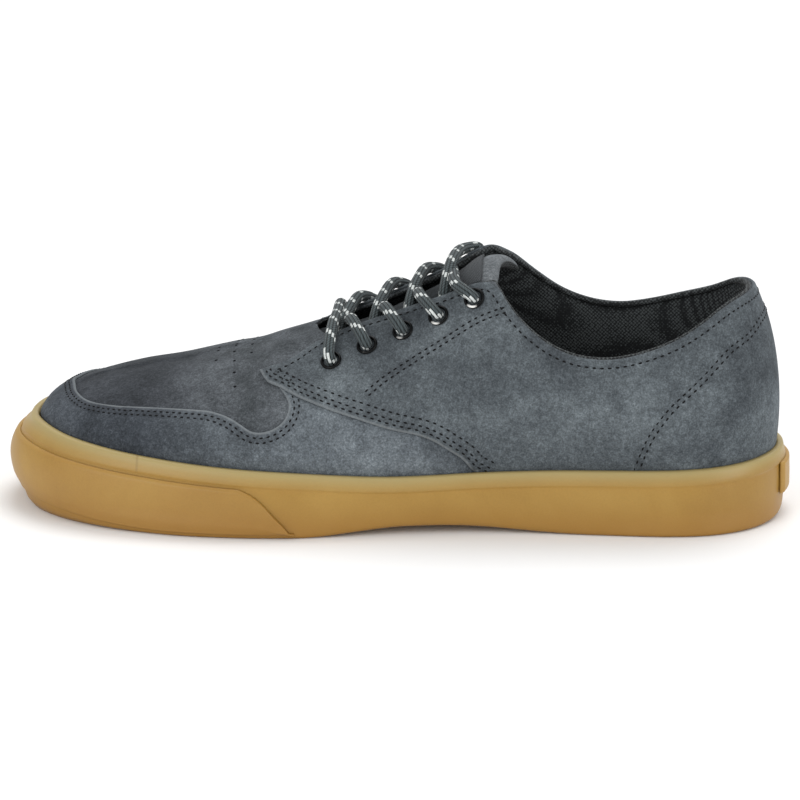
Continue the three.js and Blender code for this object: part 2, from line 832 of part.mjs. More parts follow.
// Insole, on the floor of the cup
function makeInsole() {
  const loops = allPlaces.map((place) => {
    const { spine, out } = section(place);
    const edge = surface(place, -0.9, UPPER_INSIDE - GAP);
    const reach = Math.hypot(edge.x - spine.x, edge.y - spine.y);
    const at = (share, height) => {
      const x = spine.x + out.x * reach * share;
      return new THREE.Vector3(x, spine.y + out.y * reach * share, cupFloor(x) + GAP + height);
    };
    return [at(0, 0), at(0.97, 0), at(0.97, INSOLE * 0.8), at(0.94, INSOLE), at(0, INSOLE)];
  });
  return ringLoft(loops, (k) => k !== 4);
}

// Tongue: across runs -1 on the inner side to 1 on the outer side
const TONGUE_FRONT = 0.69;
const TONGUE_TOP = 0.372;
const TONGUE_SIDE = 0.999; // just short of 1, where a wall would close on itself
const TONGUE_ROWS = spread(-1, 1, 8);
const TONGUE_EDGE_RISE = 0.13; // how far the tongue reaches under the eyestay, as a share of the rise
const UNDER_EYESTAY = UPPER_INSIDE - 5 * GAP;
const tongueSections = new Map();
function tongueSection(along) {
  if (tongueSections.has(along)) return tongueSections.get(along);
  const x = xOf(along);
  const crown = ridgeHeight(x) - read(tongueCrown, 'drop', along) * INSTEP_TOP;
  const half = (sign) => {
    let low = 6;
    let high = 12;
    for (let k = 0; k < 30; k += 1) {
      const middle = (low + high) / 2;
      const at = sign > 0 ? middle : RING - middle;
      if (section(at).spine.x < x) low = middle;
      else high = middle;
    }
    const place = sign > 0 ? low : RING - low;
    const edgeRise = Math.min(throatRise(place, false), 0.78) - TONGUE_EDGE_RISE;
    const edge = surface(place, edgeRise, UNDER_EYESTAY);
    const above = surface(place, edgeRise + 0.05, UNDER_EYESTAY);
    const run = above.clone().sub(edge).normalize();
    const middle = section(place).spine.y;
    const wide = Math.abs(edge.y - middle);
    const height = Math.max(crown - edge.z, 1);
    return new THREE.CubicBezierCurve3(
      new THREE.Vector3(x, middle, crown),
      new THREE.Vector3(x, middle + sign * wide * 0.5, crown),
      new THREE.Vector3(x, edge.y + run.y * height * 0.45, edge.z + run.z * height * 0.45),
      new THREE.Vector3(x, edge.y, edge.z),
    );
  };
  const result = { outer: half(1), inner: half(-1) };
  tongueSections.set(along, result);
  return result;
}
function onTongue(along, across, offset) {
  const curves = tongueSection(along);
  const curve = across >= 0 ? curves.outer : curves.inner;
  const sign = across >= 0 ? 1 : -1;
  const t = Math.abs(across);
  const point = curve.getPoint(t);
  const tangent = curve.getTangent(Math.min(Math.max(t, 0.001), 0.999));
  const slope = tongueSection(along - 0.004).outer.getPoint(0).z - curves.outer.getPoint(0).z;
  const normal = new THREE.Vector3(slope / (0.004 * LAST_LENGTH), -tangent.z * sign, tangent.y * sign);
  return point.addScaledVector(normal.normalize(), offset);
}
const tongueThickness = (across) => mix(TONGUE_WALL, TONGUE_EDGE, Math.abs(across) ** 3);

function makeTongue() {
  return wall({
    places: spread(TONGUE_TOP, TONGUE_FRONT, 10),
    low: () => -1,
    high: () => TONGUE_SIDE,
    rows: TONGUE_ROWS,
    at: (along, across, offset) => onTongue(along, -across, offset),
    inner: (along, across) => -tongueThickness(across),
    outer: () => 0,
  });
}

// Label on the tongue, left bare
const LABEL_BACK = 0.395;
const LABEL_FRONT = 0.445;
function makeLabel() {
  return wall({
    places: spread(LABEL_BACK, LABEL_FRONT, 4),
    low: () => -0.5,
    high: () => 0.5,
    rows: TONGUE_ROWS,
    at: (along, across, offset) => onTongue(along, -across, offset),
    inner: () => GAP,
    outer: () => GAP + LABEL,
  });
}

// Eyelets: place round the last, rise, point and outward direction of each
function findPlace(x, side) {
  let low = 5;
  let high = 12;
  for (let k = 0; k < 30; k += 1) {
    const middle = (low + high) / 2;
    if (onLast(side === 'outer' ? middle : RING - middle, 0.6).x < x) low = middle;
    else high = middle;
  }
  return side === 'outer' ? low : RING - low;
}
const FIRST_EYELET = 0.596;
function throatEdge(x, side) {
  const place = findPlace(x, side);
  const edgeRise = throatRise(place, false);
  return { place, edgeRise, edge: onLast(place, edgeRise) };
}
function eyelet(side, row) {
  const x = xOf(FIRST_EYELET) - row * EYELET_PITCH;
  const setback = mix(EYELET_SETBACK_FRONT, EYELET_SETBACK_TOP, row / (EYELET_ROWS - 1));
  const { place, edgeRise, edge } = throatEdge(x, side);
  let rise = edgeRise;
  while (onLast(place, rise).distanceTo(edge) < setback) rise -= 0.002;
  const point = surface(place, rise, 0);
  const out = surface(place, rise, 1).sub(point).normalize();
  return { point, out, edge };
}
const sides = ['outer', 'inner'];
const eyelets = sides.flatMap((side) => spread(0, EYELET_ROWS - 1, EYELET_ROWS - 1)
  .map((row) => ({ side, row, ...eyelet(side, row) })));
const eyeletAt = (side, row) => eyelets.find((item) => item.side === side && item.row === row);

function pointAlong(geometry, point, out) {
  const turn = new THREE.Quaternion().setFromUnitVectors(new THREE.Vector3(0, 1, 0), out);
  return geometry.applyQuaternion(turn).translate(point.x, point.y, point.z);
}

function punch(geometry, rows) {
  let solid = toSolid(geometry);
  for (const { point, out } of rows) {
    const radius = EYELET_HOLE / 2 + EYELET_WALL + GAP;
    const reach = 2 * (PANEL + UPPER_WALL + 2 * GAP) + 4;
    const drill = new THREE.CylinderGeometry(radius, radius, reach, SIDES_OF_ROUND);
    solid = solid.subtract(toSolid(pointAlong(drill, point, out)));
  }
  return toGeometry(solid);
}

function makeEyelet({ point, out }) {
  const bore = EYELET_HOLE / 2;
  const deep = UPPER_INSIDE - GAP;
  const profile = [
    [bore, deep],
    [bore + EYELET_WALL, deep],
    [bore + EYELET_WALL, GAP],
    [EYELET_FLANGE / 2, GAP],
    [EYELET_FLANGE / 2 - 0.3, GAP + EYELET_RISE],
    [bore, GAP + EYELET_RISE],
    [bore, deep],
  ].map(([radius, height]) => new THREE.Vector2(radius, height));
  return pointAlong(new THREE.LatheGeometry(profile, SIDES_OF_ROUND), point, out);
}

// Laces: a bar across the first row, then a crossing between each pair of rows
function strand(points, steps) {
  const path = new THREE.CatmullRomCurve3(points, false, 'centripetal');
  const round = new THREE.Shape();
  round.absarc(0, 0, LACE / 2, 0, 2 * Math.PI);
  const outline = new THREE.Shape(round.getSpacedPoints(LACE_SIDES).slice(0, -1));
  const tube = new THREE.ExtrudeGeometry(outline, { steps, extrudePath: path, bevelEnabled: false });
  return toSolid(tube);
}
const overEyelet = (item, height) => item.point.clone().addScaledVector(item.out, height);
const IN_EYELET = GAP + EYELET_RISE + 0.1;
const OVER_EDGE = LACE / 2 + 3 * GAP;
const LACE_STEP = 0.92 * LACE; // one strand crosses this far over the other
const ARCH = LACE / 2 + GAP + LACE_STEP / 2; // middle of a crossing over the tongue

function overTongue(x, y, extra) {
  const along = alongOf(x);
  const reach = LACE / LAST_LENGTH;
  const onLabel = along > LABEL_BACK - reach && along < LABEL_FRONT + reach;
  const crown = onTongue(along, 0, onLabel ? 2 * GAP + LABEL : 0);
  return new THREE.Vector3(x, y, crown.z + ARCH + extra);
}

// Where a strand that comes from the middle passes over the throat's edge on its way to an eyelet
function overEdge(item, middle) {
  const x = mix(item.point.x, middle.x, 0.4);
  return throatEdge(x, item.side).edge.addScaledVector(item.out, OVER_EDGE);
}

function makeBar() {
  const [near, far] = sides.map((side) => eyeletAt(side, 0));
  const middle = overTongue((near.point.x + far.point.x) / 2, spineY(9), LACE_STEP);
  const points = [
    overEyelet(near, IN_EYELET),
    overEyelet(near, IN_EYELET + 3),
    overEdge(near, middle),
    middle,
    overEdge(far, middle),
    overEyelet(far, IN_EYELET + 3),
    overEyelet(far, IN_EYELET),
  ];
  return toGeometry(strand(points, 12));
}

const FOOT_BACK = 0.42; // a strand comes up this share of the pitch behind its lower eyelet
function makeCross(row) {
  const solids = sides.map((from, index) => {
    const to = sides[1 - index];
    const start = eyeletAt(from, row);
    const end = eyeletAt(to, row + 1);
    const sign = from === 'outer' ? 1 : -1;
    const lift = index === 0 ? LACE_STEP / 2 : -LACE_STEP / 2;
    const x = start.point.x - EYELET_PITCH * FOOT_BACK;
    const inThroat = throatEdge(x, from).edge.y - sign * LACE;
    const foot = new THREE.Vector3(x, inThroat, onTongue(alongOf(x), sign * 0.5, 0).z + LACE);
    const middle = overTongue((start.point.x + end.point.x) / 2, spineY(9), lift);
    const points = [
      foot,
      foot.clone().lerp(middle, 0.5).setZ(mix(foot.z, middle.z, 0.72)),
      middle,
      overEdge(end, middle),
      overEyelet(end, IN_EYELET + 3),
      overEyelet(end, IN_EYELET),
    ];
    return strand(points, 9);
  });
  return toGeometry(solids[0].add(solids[1]));
}

// Materials
const suede = { color: 0x595f65, roughness: 0.95, metalness: 0 };
const gum = { color: 0xb08a4a, roughness: 0.6, metalness: 0 };
const lining = { color: 0x232527, roughness: 0.9, metalness: 0 };
const cord = { color: 0x3c4446, roughness: 0.85, metalness: 0 };
const enamel = { color: 0x151617, roughness: 0.35, metalness: 0.2 };

// Assembly
const shoe = new THREE.Group();
function add(name, geometry, look) {
  const mesh = new THREE.Mesh(geometry, new THREE.MeshStandardMaterial(look));
  mesh.name = name;
  shoe.add(mesh);
}

const onSide = (side) => eyelets.filter((item) => item.side === side);
add('sole', toGeometry(cutGrooves(toSolid(makeSole()))), gum);
add('toe_bumper', makeBumper(), gum);
add('heel_patch', makeHeelPatch(), gum);
add('insole', makeInsole(), lining);
add('upper', punch(makeUpper(), eyelets), suede);
add('mudguard', makeMudguard(), suede);
add('quarter_outer', punch(makeQuarter('outer'), onSide('outer')), suede);
add('quarter_inner', punch(makeQuarter('inner'), onSide('inner')), suede);
add('heel_counter', makeCounter(), suede);
add('tongue', makeTongue(), suede);
add('tongue_label', makeLabel(), lining);
for (const item of eyelets) add(`eyelet_${item.side}_${item.row + 1}`, makeEyelet(item), enamel);
add('lace_bar', makeBar(), cord);
for (let row = 0; row < EYELET_ROWS - 1; row += 1) add(`lace_cross_${row + 1}`, makeCross(row), cord);

export default shoe;
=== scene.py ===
# %% [markdown]
# # A low skateboarding shoe in suede and gum rubber
#
# This lesson dresses a packed construction model. The model gives the true size and place of every
# piece, and each piece here is made again with the surface that the real one has. The shoe is a
# left one. +X points to the toe, +Y to the outer side of the foot and +Z up, in metres.

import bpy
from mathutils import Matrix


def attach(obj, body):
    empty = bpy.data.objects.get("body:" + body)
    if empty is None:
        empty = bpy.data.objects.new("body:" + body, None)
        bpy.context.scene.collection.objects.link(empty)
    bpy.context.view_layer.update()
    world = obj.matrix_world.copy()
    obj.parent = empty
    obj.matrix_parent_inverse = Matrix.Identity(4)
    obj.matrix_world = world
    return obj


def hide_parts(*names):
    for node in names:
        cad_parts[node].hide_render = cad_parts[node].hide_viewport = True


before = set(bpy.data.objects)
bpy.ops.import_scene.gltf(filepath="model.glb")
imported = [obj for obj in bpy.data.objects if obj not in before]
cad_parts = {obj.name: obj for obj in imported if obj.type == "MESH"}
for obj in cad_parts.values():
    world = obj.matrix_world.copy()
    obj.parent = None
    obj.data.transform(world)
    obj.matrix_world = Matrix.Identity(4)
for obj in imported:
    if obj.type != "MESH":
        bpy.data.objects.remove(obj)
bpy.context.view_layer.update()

# %% [markdown]
# ## Sizes
# A shoemaker starts from the last, the solid form of the foot. Its sizes are driving dimensions in
# millimetres, and everything else is worked out from them, so that the pieces lie on each other as
# they do in the construction model.

# %% Driving dimensions, in millimetres
import math

import bmesh
import bpy
import numpy as np
from mathutils import Matrix, Vector

MM = 0.001

SHOE_LENGTH = 303
BALL_WIDTH = 96
HEEL_WIDTH = 70
HEEL_TOP = 92
INSTEP_TOP = 95
RUBBER_TOP = 26

UPPER_WALL = 1.8
PANEL = 1.2
GAP = 0.35
UPPER_OUTSIDE = -(PANEL + GAP)
UPPER_INSIDE = UPPER_OUTSIDE - UPPER_WALL

HEEL_RUBBER = 3.6
TOE_RUBBER = 9.8
SIDE_RUBBER = 5.4
RUBBER_EDGE = 3.2
BAND_HEIGHT = 5.4
BAND_STEP = 0.7
BUMPER = 1.3
HEEL_PATCH = 1.7
BUMPER_RISE = BUMPER + GAP
PATCH_RISE = HEEL_PATCH + GAP
ARCH_RISE = 3.4
HEEL_FLOOR = 11.5
BALL_FLOOR = 8
INSOLE = 4.2
HEEL_SPRING = 2.2
TOE_SPRING = 6.8

LACE = 4.2
EYELET_HOLE = 5.8
EYELET_FLANGE = 8.2

LAST_LENGTH = SHOE_LENGTH - HEEL_RUBBER - PATCH_RISE - TOE_RUBBER - BUMPER_RISE
LAST_BACK = HEEL_RUBBER + PATCH_RISE - SHOE_LENGTH / 2
print("the last is", round(LAST_LENGTH, 2), "mm long")

# %% [markdown]
# ## The last
# The last is drawn as half sections that stand on its spine and run out to the rubber's top line.
# Short tables hold its shares, with a row for each section. A smooth line through the rows could
# be a Blender curve, but a formula can be asked for any point, which the wrapping below needs.

# %% Tables of the last
def table(names, *rows):
    return {name: np.array([row[k] for row in rows], float) for k, name in enumerate(names)}


plan = table(
    ("along", "outer", "inner", "spine", "spine_side"),
    (0.000, 0.000, 0.000, 0.127, 0.000),
    (0.010, 0.194, 0.191, 0.128, 0.000),
    (0.039, 0.357, 0.351, 0.131, 0.000),
    (0.082, 0.457, 0.447, 0.141, 0.000),
    (0.138, 0.500, 0.486, 0.166, 0.000),
    (0.218, 0.514, 0.477, 0.225, 0.000),
    (0.302, 0.521, 0.457, 0.302, 0.000),
    (0.385, 0.510, 0.423, 0.385, 0.000),
    (0.469, 0.493, 0.404, 0.469, -0.010),
    (0.553, 0.483, 0.419, 0.553, -0.020),
    (0.636, 0.495, 0.464, 0.633, -0.031),
    (0.720, 0.495, 0.503, 0.710, -0.042),
    (0.804, 0.466, 0.512, 0.776, -0.046),
    (0.880, 0.402, 0.478, 0.828, -0.050),
    (0.943, 0.296, 0.380, 0.863, -0.050),
    (0.985, 0.145, 0.215, 0.882, -0.048),
    (1.000, -0.036, 0.036, 0.889, -0.046),
)
ridge = table(
    ("along", "height"),
    (0.120, 1.194), (0.214, 1.204), (0.302, 1.209), (0.389, 1.141), (0.455, 1.004),
    (0.518, 0.894), (0.574, 0.809), (0.622, 0.750), (0.688, 0.686), (0.757, 0.627),
    (0.804, 0.590), (0.845, 0.567), (0.889, 0.539),
)
rubber_line = table(
    ("station", "height"),
    (0, 1.042), (1, 1.042), (2, 1.016), (4, 0.960), (6, 0.940), (7, 0.912), (8.5, 0.875),
    (10, 0.949), (11, 0.997), (12.5, 1.110), (14, 1.225), (15, 1.290), (16, 1.270),
)
fullness = table(
    ("station", "outer_lean", "inner_lean", "outer_side", "inner_side", "outer_crown", "inner_crown"),
    (0, 6, 6, 0.57, 0.57, 0.52, 0.52),
    (2, 7, 7, 0.59, 0.59, 0.55, 0.55),
    (4, 8, 8, 0.58, 0.60, 0.58, 0.60),
    (6, 8, 10, 0.55, 0.66, 0.60, 0.70),
    (7, 8, 12, 0.52, 0.70, 0.58, 0.76),
    (8, 8, 12, 0.48, 0.66, 0.52, 0.66),
    (10, 8, 10, 0.50, 0.58, 0.50, 0.56),
    (12, 6, 8, 0.52, 0.54, 0.52, 0.54),
    (14, -8, -8, 0.45, 0.45, 0.55, 0.55),
    (16, -20, -20, 0.42, 0.42, 0.55, 0.55),
)
TOE_STATION = len(plan["along"]) - 1
RING = 2 * TOE_STATION
print("the last has", RING, "half sections")

# %% A smooth line through a table's rows
def read(rows, column, at):
    places = next(iter(rows.values()))
    values = rows[column]
    at = np.clip(np.asarray(at, float), places[0], places[-1])
    step = np.diff(places)
    rise = np.diff(values) / step
    slope = np.empty(len(places))
    slope[0] = rise[0]
    slope[-1] = rise[-1]
    slope[1:-1] = (rise[:-1] * step[1:] + rise[1:] * step[:-1]) / (step[:-1] + step[1:])
    row = np.clip(np.searchsorted(places, at, side="right") - 1, 0, len(step) - 1)
    t = (at - places[row]) / step[row]
    start = (2 * t**3 - 3 * t**2 + 1) * values[row] + (t**3 - 2 * t**2 + t) * step[row] * slope[row]
    end = (3 * t**2 - 2 * t**3) * values[row + 1] + (t**3 - t**2) * step[row] * slope[row + 1]
    return start + end


def mix(a, b, t):
    return a + (b - a) * t


def together(*values):
    """Numbers and arrays brought to one shape."""
    return np.broadcast_arrays(*(np.asarray(value, float) for value in values))


def unit(vectors):
    return vectors / np.linalg.norm(vectors, axis=-1)[..., None]


def run_along(points):
    """How far along a line each of its points lies."""
    return np.concatenate([[0], np.cumsum(np.linalg.norm(np.diff(points, axis=0), axis=-1))])


def arch_weights(t):
    """The shares of a cubic arch's four points."""
    return [(1 - t) ** 3, 3 * t * (1 - t) ** 2, 3 * t**2 * (1 - t), t**3]


def ease(start, end, at):
    t = np.clip((np.asarray(at, float) - start) / (end - start), 0, 1)
    return t * t * (3 - 2 * t)


def x_of(along):
    return LAST_BACK + np.asarray(along, float) * LAST_LENGTH


def along_of(x):
    return (np.asarray(x, float) - LAST_BACK) / LAST_LENGTH


def width_at(along):
    return mix(HEEL_WIDTH, BALL_WIDTH, ease(0.3, 0.62, along))


print("the ridge at half length:", round(float(read(ridge, "height", 0.5)), 3))


# %% Points of the last
def station_of(place):
    place = np.mod(place, RING)
    return np.minimum(place, RING - place)


def ridge_height(x):
    return read(ridge, "height", along_of(x)) * INSTEP_TOP


def ridge_slope(x):
    return ridge_height(x + 0.5) - ridge_height(x - 0.5)


knots = np.arange(RING)
knot_station = np.minimum(knots, RING - knots)
knot_width = width_at(plan["along"][knot_station])
knot_share = np.where(knots > TOE_STATION, -plan["inner"][knot_station], plan["outer"][knot_station])
rim_x = x_of(plan["along"][knot_station])
rim_y = knot_share * knot_width
spine_x = x_of(plan["spine"][knot_station])
spine_y = plan["spine_side"][knot_station] * BALL_WIDTH


def round_the_last(place, values):
    knot = np.floor(place).astype(int)
    t = place - knot
    a, b, c, d = (values[(knot + step) % RING] for step in (-1, 0, 1, 2))
    return 0.5 * (2 * b + (c - a) * t + (2 * a - 5 * b + 4 * c - d) * t**2 + (3 * b - a - 3 * c + d) * t**3)


def section(place):
    place = np.mod(np.asarray(place, float), RING)
    station = station_of(place)
    rim = np.stack([round_the_last(place, rim_x), round_the_last(place, rim_y)], -1)
    spine = np.stack([round_the_last(station, spine_x), round_the_last(station, spine_y)], -1)
    reach = np.linalg.norm(rim - spine, axis=-1)
    out = (rim - spine) / reach[..., None]
    foot = read(rubber_line, "height", station) * RUBBER_TOP
    return spine, out, reach, foot, station, place > TOE_STATION


def by_side(column, station, inner):
    on_inner = read(fullness, "inner_" + column, station)
    on_outer = read(fullness, "outer_" + column, station)
    return np.where(inner, on_inner, on_outer)


FLOOR_RISE_AT_TOE = 5
TUCK = 3


def cup_floor(x):
    along = along_of(x)
    return mix(HEEL_FLOOR, BALL_FLOOR, ease(0.3, 0.6, along)) + FLOOR_RISE_AT_TOE * ease(0.8, 1, along)


def on_last(place, rise):
    place, rise = together(place, rise)
    spine, out, reach, foot, station, inner = section(place)
    top = ridge_height(spine[..., 0])
    height = top - foot
    lean = np.radians(by_side("lean", station, inner))
    side_run = by_side("side", station, inner) * height
    crown_run = by_side("crown", station, inner) * reach
    t = np.clip(rise, 0, 1)
    weights = arch_weights(t)
    across = weights[0] * reach + weights[1] * (reach + np.sin(lean) * side_run) + weights[2] * crown_run
    crown_height = top + ridge_slope(spine[..., 0]) * out[..., 0] * crown_run
    up = weights[0] * foot + weights[1] * (foot + np.cos(lean) * side_run)
    up = up + weights[2] * crown_height + weights[3] * top
    below = rise < 0
    across = np.where(below, reach + rise * TUCK, across)
    x = spine[..., 0] + out[..., 0] * across
    y = spine[..., 1] + out[..., 1] * across
    return np.stack([x, y, np.where(below, mix(foot, cup_floor(x) + GAP, -rise), up)], -1)


PROBE = 0.01


def surface(place, rise, offset):
    place, rise, offset = together(place, rise, offset)
    around = on_last(place + PROBE, rise) - on_last(place - PROBE, rise)
    low = np.where(rise < 0, rise, np.maximum(rise - PROBE, 0))
    high = np.where(rise < 0, np.minimum(rise + PROBE, 0), rise + PROBE)
    low = np.where(low == high, low - PROBE, low)
    normal = np.cross(on_last(place, high) - on_last(place, low), around)
    spine_slope = ridge_slope(section(place)[0][..., 0])
    on_spine = np.stack([-spine_slope, np.zeros_like(spine_slope), np.ones_like(spine_slope)], -1)
    normal = np.where((rise > 1 - PROBE)[..., None], on_spine, normal)
    normal[..., 2] = np.where(rise < 0, 0, normal[..., 2])
    return on_last(place, rise) + unit(normal) * offset[..., None]


print("top of the toe:", on_last(16.0, 1.0).round(2), "mm")

# %% [markdown]
# ## Flat patterns
# A maker cuts each panel flat and pulls it over the last. The same is done here: a panel is drawn
# in flat coordinates, where the first runs round the last along the rubber's top line, the second
# runs up the side, and the third is the height above the last's own surface, all in millimetres.
# Operators then cut and thicken it while it is flat, and one function pulls it over the last.

# %% From flat to lasted and back
dense_place = np.linspace(-12, 44, 2241)
dense_rise = np.linspace(0, 1, 65)
dense_last = on_last(dense_place[:, None], dense_rise[None, :])
up_steps = np.linalg.norm(np.diff(dense_last, axis=1), axis=-1)
arc_up = np.concatenate([np.zeros((len(dense_place), 1)), np.cumsum(up_steps, axis=1)], axis=1)
arc_round = run_along(dense_last[:, 0])
arc_round -= np.interp(0, dense_place, arc_round)
share_grid = np.linspace(0, 1, 65)
rise_by_share = np.array([np.interp(share_grid, arc / arc[-1], dense_rise) for arc in arc_up])
GIRTH = np.interp(RING, dense_place, arc_round)


def bilinear(grid, row, column):
    row = np.clip(row, 0, grid.shape[0] - 1.001)
    column = np.clip(column, 0, grid.shape[1] - 1.001)
    i, j = np.floor(row).astype(int), np.floor(column).astype(int)
    f, g = row - i, column - j
    low = grid[i, j] * (1 - g) + grid[i, j + 1] * g
    high = grid[i + 1, j] * (1 - g) + grid[i + 1, j + 1] * g
    return low * (1 - f) + high * f


def dense_row(place):
    return (np.asarray(place, float) - dense_place[0]) / (dense_place[1] - dense_place[0])


def lasted(flat):
    """Place and rise on the last of points given flat."""
    flat = np.asarray(flat, float)
    place = np.interp(flat[..., 0], arc_round, dense_place)
    whole = np.interp(place, dense_place, arc_up[:, -1])
    share = np.clip(flat[..., 1] / whole, 0, 1)
    rise = bilinear(rise_by_share, dense_row(place), share * (len(share_grid) - 1))
    _, _, _, foot, _, _ = section(place)
    drop = foot - HEEL_FLOOR
    return place, np.where(flat[..., 1] < 0, flat[..., 1] / drop, rise)


def flattened(place, rise):
    """The flat coordinates of a place and rise."""
    column = np.asarray(rise, float) * (len(dense_rise) - 1)
    up = bilinear(arc_up, dense_row(place), column)
    return np.stack([np.interp(place, dense_place, arc_round), up], -1)


print("round the last:", round(float(GIRTH), 1), "mm")

# %% [markdown]
# ## Lines drawn on the last
# Before cutting, a maker draws the lines of the collar, the throat and the panels on the last. Each
# line here is a short table of heights along the shoe. A survey of the whole last finds how far up
# each half section the line is met.

# %% Tables of the lines
outer_collar = table(
    ("along", "height"),
    (-0.02, 0.966), (0.044, 0.965), (0.058, 0.953), (0.076, 0.927), (0.099, 0.880), (0.134, 0.815),
    (0.173, 0.766), (0.234, 0.732), (0.285, 0.763), (0.312, 0.809), (0.336, 0.870), (0.359, 0.950),
    (0.373, 1.012), (0.386, 1.060), (0.406, 1.130),
)
inner_collar = table(
    ("along", "height"),
    (-0.02, 0.966), (0.044, 0.960), (0.089, 0.886), (0.131, 0.843), (0.172, 0.809), (0.213, 0.791),
    (0.254, 0.806), (0.295, 0.857), (0.331, 0.938), (0.361, 1.016), (0.378, 1.046), (0.406, 1.124),
)
throat = table(
    ("along", "half"),
    (0.302, 0.262), (0.385, 0.236), (0.511, 0.182), (0.600, 0.182), (0.622, 0.208), (0.640, 0.245),
    (0.662, 0.278), (0.690, 0.292),
)
quarter_front = table(
    ("along", "height"),
    (0.395, 0.200), (0.402, 0.250), (0.412, 0.294), (0.431, 0.337), (0.450, 0.375), (0.513, 0.431),
    (0.563, 0.478), (0.628, 0.540), (0.660, 0.574), (0.678, 0.587), (0.689, 0.617),
)
mudguard_edge = table(
    ("station", "height"),
    (10.40, 0.600), (10.28, 0.570), (10.18, 0.547), (10.12, 0.523), (10.12, 0.489), (10.18, 0.460),
    (10.30, 0.435), (10.46, 0.419), (10.58, 0.415), (10.70, 0.420), (10.82, 0.437), (11.00, 0.460),
    (11.18, 0.475), (11.38, 0.483), (11.72, 0.484), (12.48, 0.476), (13.24, 0.465), (14.04, 0.462),
    (14.56, 0.470), (15.38, 0.479), (16.00, 0.484),
)
eyestay_seam = table(
    ("station", "height"),
    (8.88, 0.557), (8.62, 0.609), (8.18, 0.682), (7.58, 0.779), (7.14, 0.850), (6.84, 0.882), (6.68, 0.894),
)
counter_top = table(
    ("along", "height"),
    (-0.02, 0.868), (0.027, 0.861), (0.039, 0.824), (0.066, 0.775), (0.095, 0.684), (0.124, 0.589),
    (0.154, 0.498), (0.173, 0.400), (0.188, 0.272), (0.196, 0.180),
)
COLLAR_END_STATION = 8.2
THROAT_END = 0.622
THROAT_ROUNDING = 0.024
TIP_STATION = 10.68
FRONT_START = 7.12

print("the mudguard's edge is drawn with", len(mudguard_edge["station"]), "points")

# %% Where each half section meets the lines
survey_places = np.linspace(0, RING, 1601)
survey_rises = np.linspace(0, 1, 161)
survey = on_last(survey_places[:, None], survey_rises[None, :])
survey_along = along_of(survey[..., 0])
survey_inner = (survey_places > TOE_STATION)[:, None]
survey_station = station_of(survey_places)
from_spine = np.linalg.norm(survey[..., :2] - section(survey_places)[0][:, None], axis=-1)


def first_rise(passing):
    passed = passing >= 0
    passed[:, 0] = False
    rows = np.arange(len(passing))
    k = np.maximum(np.argmax(passed, axis=1), 1)
    before, after = passing[rows, k - 1], passing[rows, k]
    part = np.clip(-before / np.where(after == before, 1, after - before), 0, 1)
    return np.where(passed.any(axis=1), survey_rises[k - 1] + part * survey_rises[1], 1)


def rise_of_line(line, size):
    return first_rise(survey[..., 2] - read(line, "height", survey_along) * size)


def throat_line(closes):
    closing = np.maximum((THROAT_END - survey_along) / THROAT_ROUNDING, 0)
    narrowed = np.sqrt(np.minimum(closing, 1)) if closes else 1
    half = read(throat, "half", np.minimum(survey_along, THROAT_END - THROAT_ROUNDING if closes else 1))
    return first_rise(half * BALL_WIDTH * narrowed + 0.001 - from_spine)


heights = survey[..., 2]
collar_heights = np.where(
    survey_inner, read(inner_collar, "height", survey_along), read(outer_collar, "height", survey_along)
)
collar_rise = first_rise(heights - collar_heights * HEEL_TOP)
lines = {
    "collar": np.where(survey_station > COLLAR_END_STATION, 1, collar_rise),
    "throat": throat_line(closes=True),
    "eyestay": throat_line(closes=False),
    "front": rise_of_line(quarter_front, INSTEP_TOP),
    "counter": rise_of_line(counter_top, HEEL_TOP),
}


def line_rise(name, place):
    return np.interp(np.mod(place, RING), survey_places, lines[name])


def drawn(name, places):
    """A drawn line as flat points."""
    return flattened(places, line_rise(name, places))


def hand_drawn(rows, side=1):
    """A smooth flat line through a table's stations and heights, on one side of the shoe."""
    places = rows["station"] if side > 0 else RING - rows["station"]
    rises = []
    for place, height in zip(places, rows["height"] * INSTEP_TOP):
        section_heights = on_last(place, survey_rises)[:, 2]
        rises.append(np.interp(height, section_heights, survey_rises))
    flat = flattened(places, np.array(rises))
    run = run_along(flat)
    at = np.arange(0, run[-1], 0.5)
    curve = {"run": run, "a": flat[:, 0], "s": flat[:, 1]}
    return np.stack([read(curve, "a", at), read(curve, "s", at)], 1)


def upper_edge(place):
    return np.minimum(line_rise("collar", place), line_rise("throat", place))


def quarter_edge(place):
    return np.minimum(line_rise("collar", place), line_rise("eyestay", place))


print("collar at the back of the heel:", round(float(line_rise("collar", 0)), 3), "of the rise")

# %% [markdown]
# ## From a flat grid to a piece
# Every wrapped piece starts as a plain grid made by an operator. Its columns and rows are then laid
# on points worked out on the last, and its doubled points are welded. A lofted curve would do too,
# but the grid keeps the rows under control where a step or an edge needs them.

# %% Making meshes
def woven(points, uv_size=(1, 1), weld=0.02):
    """A grid laid on points given as columns and rows, in millimetres."""
    columns, rows = points.shape[:2]
    bm = bmesh.new()
    bmesh.ops.create_grid(bm, x_segments=columns - 1, y_segments=rows - 1, size=0.5)
    uv = bm.loops.layers.uv.new("flat")
    row_layer = bm.verts.layers.float.new("row")
    spots = np.array([vert.co[:2] for vert in bm.verts]) + 0.5
    spots = np.rint(spots * (columns - 1, rows - 1)).astype(int)
    for face in bm.faces:
        for loop in face.loops:
            loop[uv].uv = tuple(spots[loop.vert.index] / (columns - 1, rows - 1) * uv_size)
    for vert, spot in zip(bm.verts, spots):
        vert.co = points[spot[0], spot[1]] * MM
        vert[row_layer] = spot[1]
    bmesh.ops.remove_doubles(bm, verts=bm.verts, dist=weld * MM)
    return bm


def with_ends(bm):
    bmesh.ops.holes_fill(bm, edges=[edge for edge in bm.edges if edge.is_boundary], sides=0)
    return bm


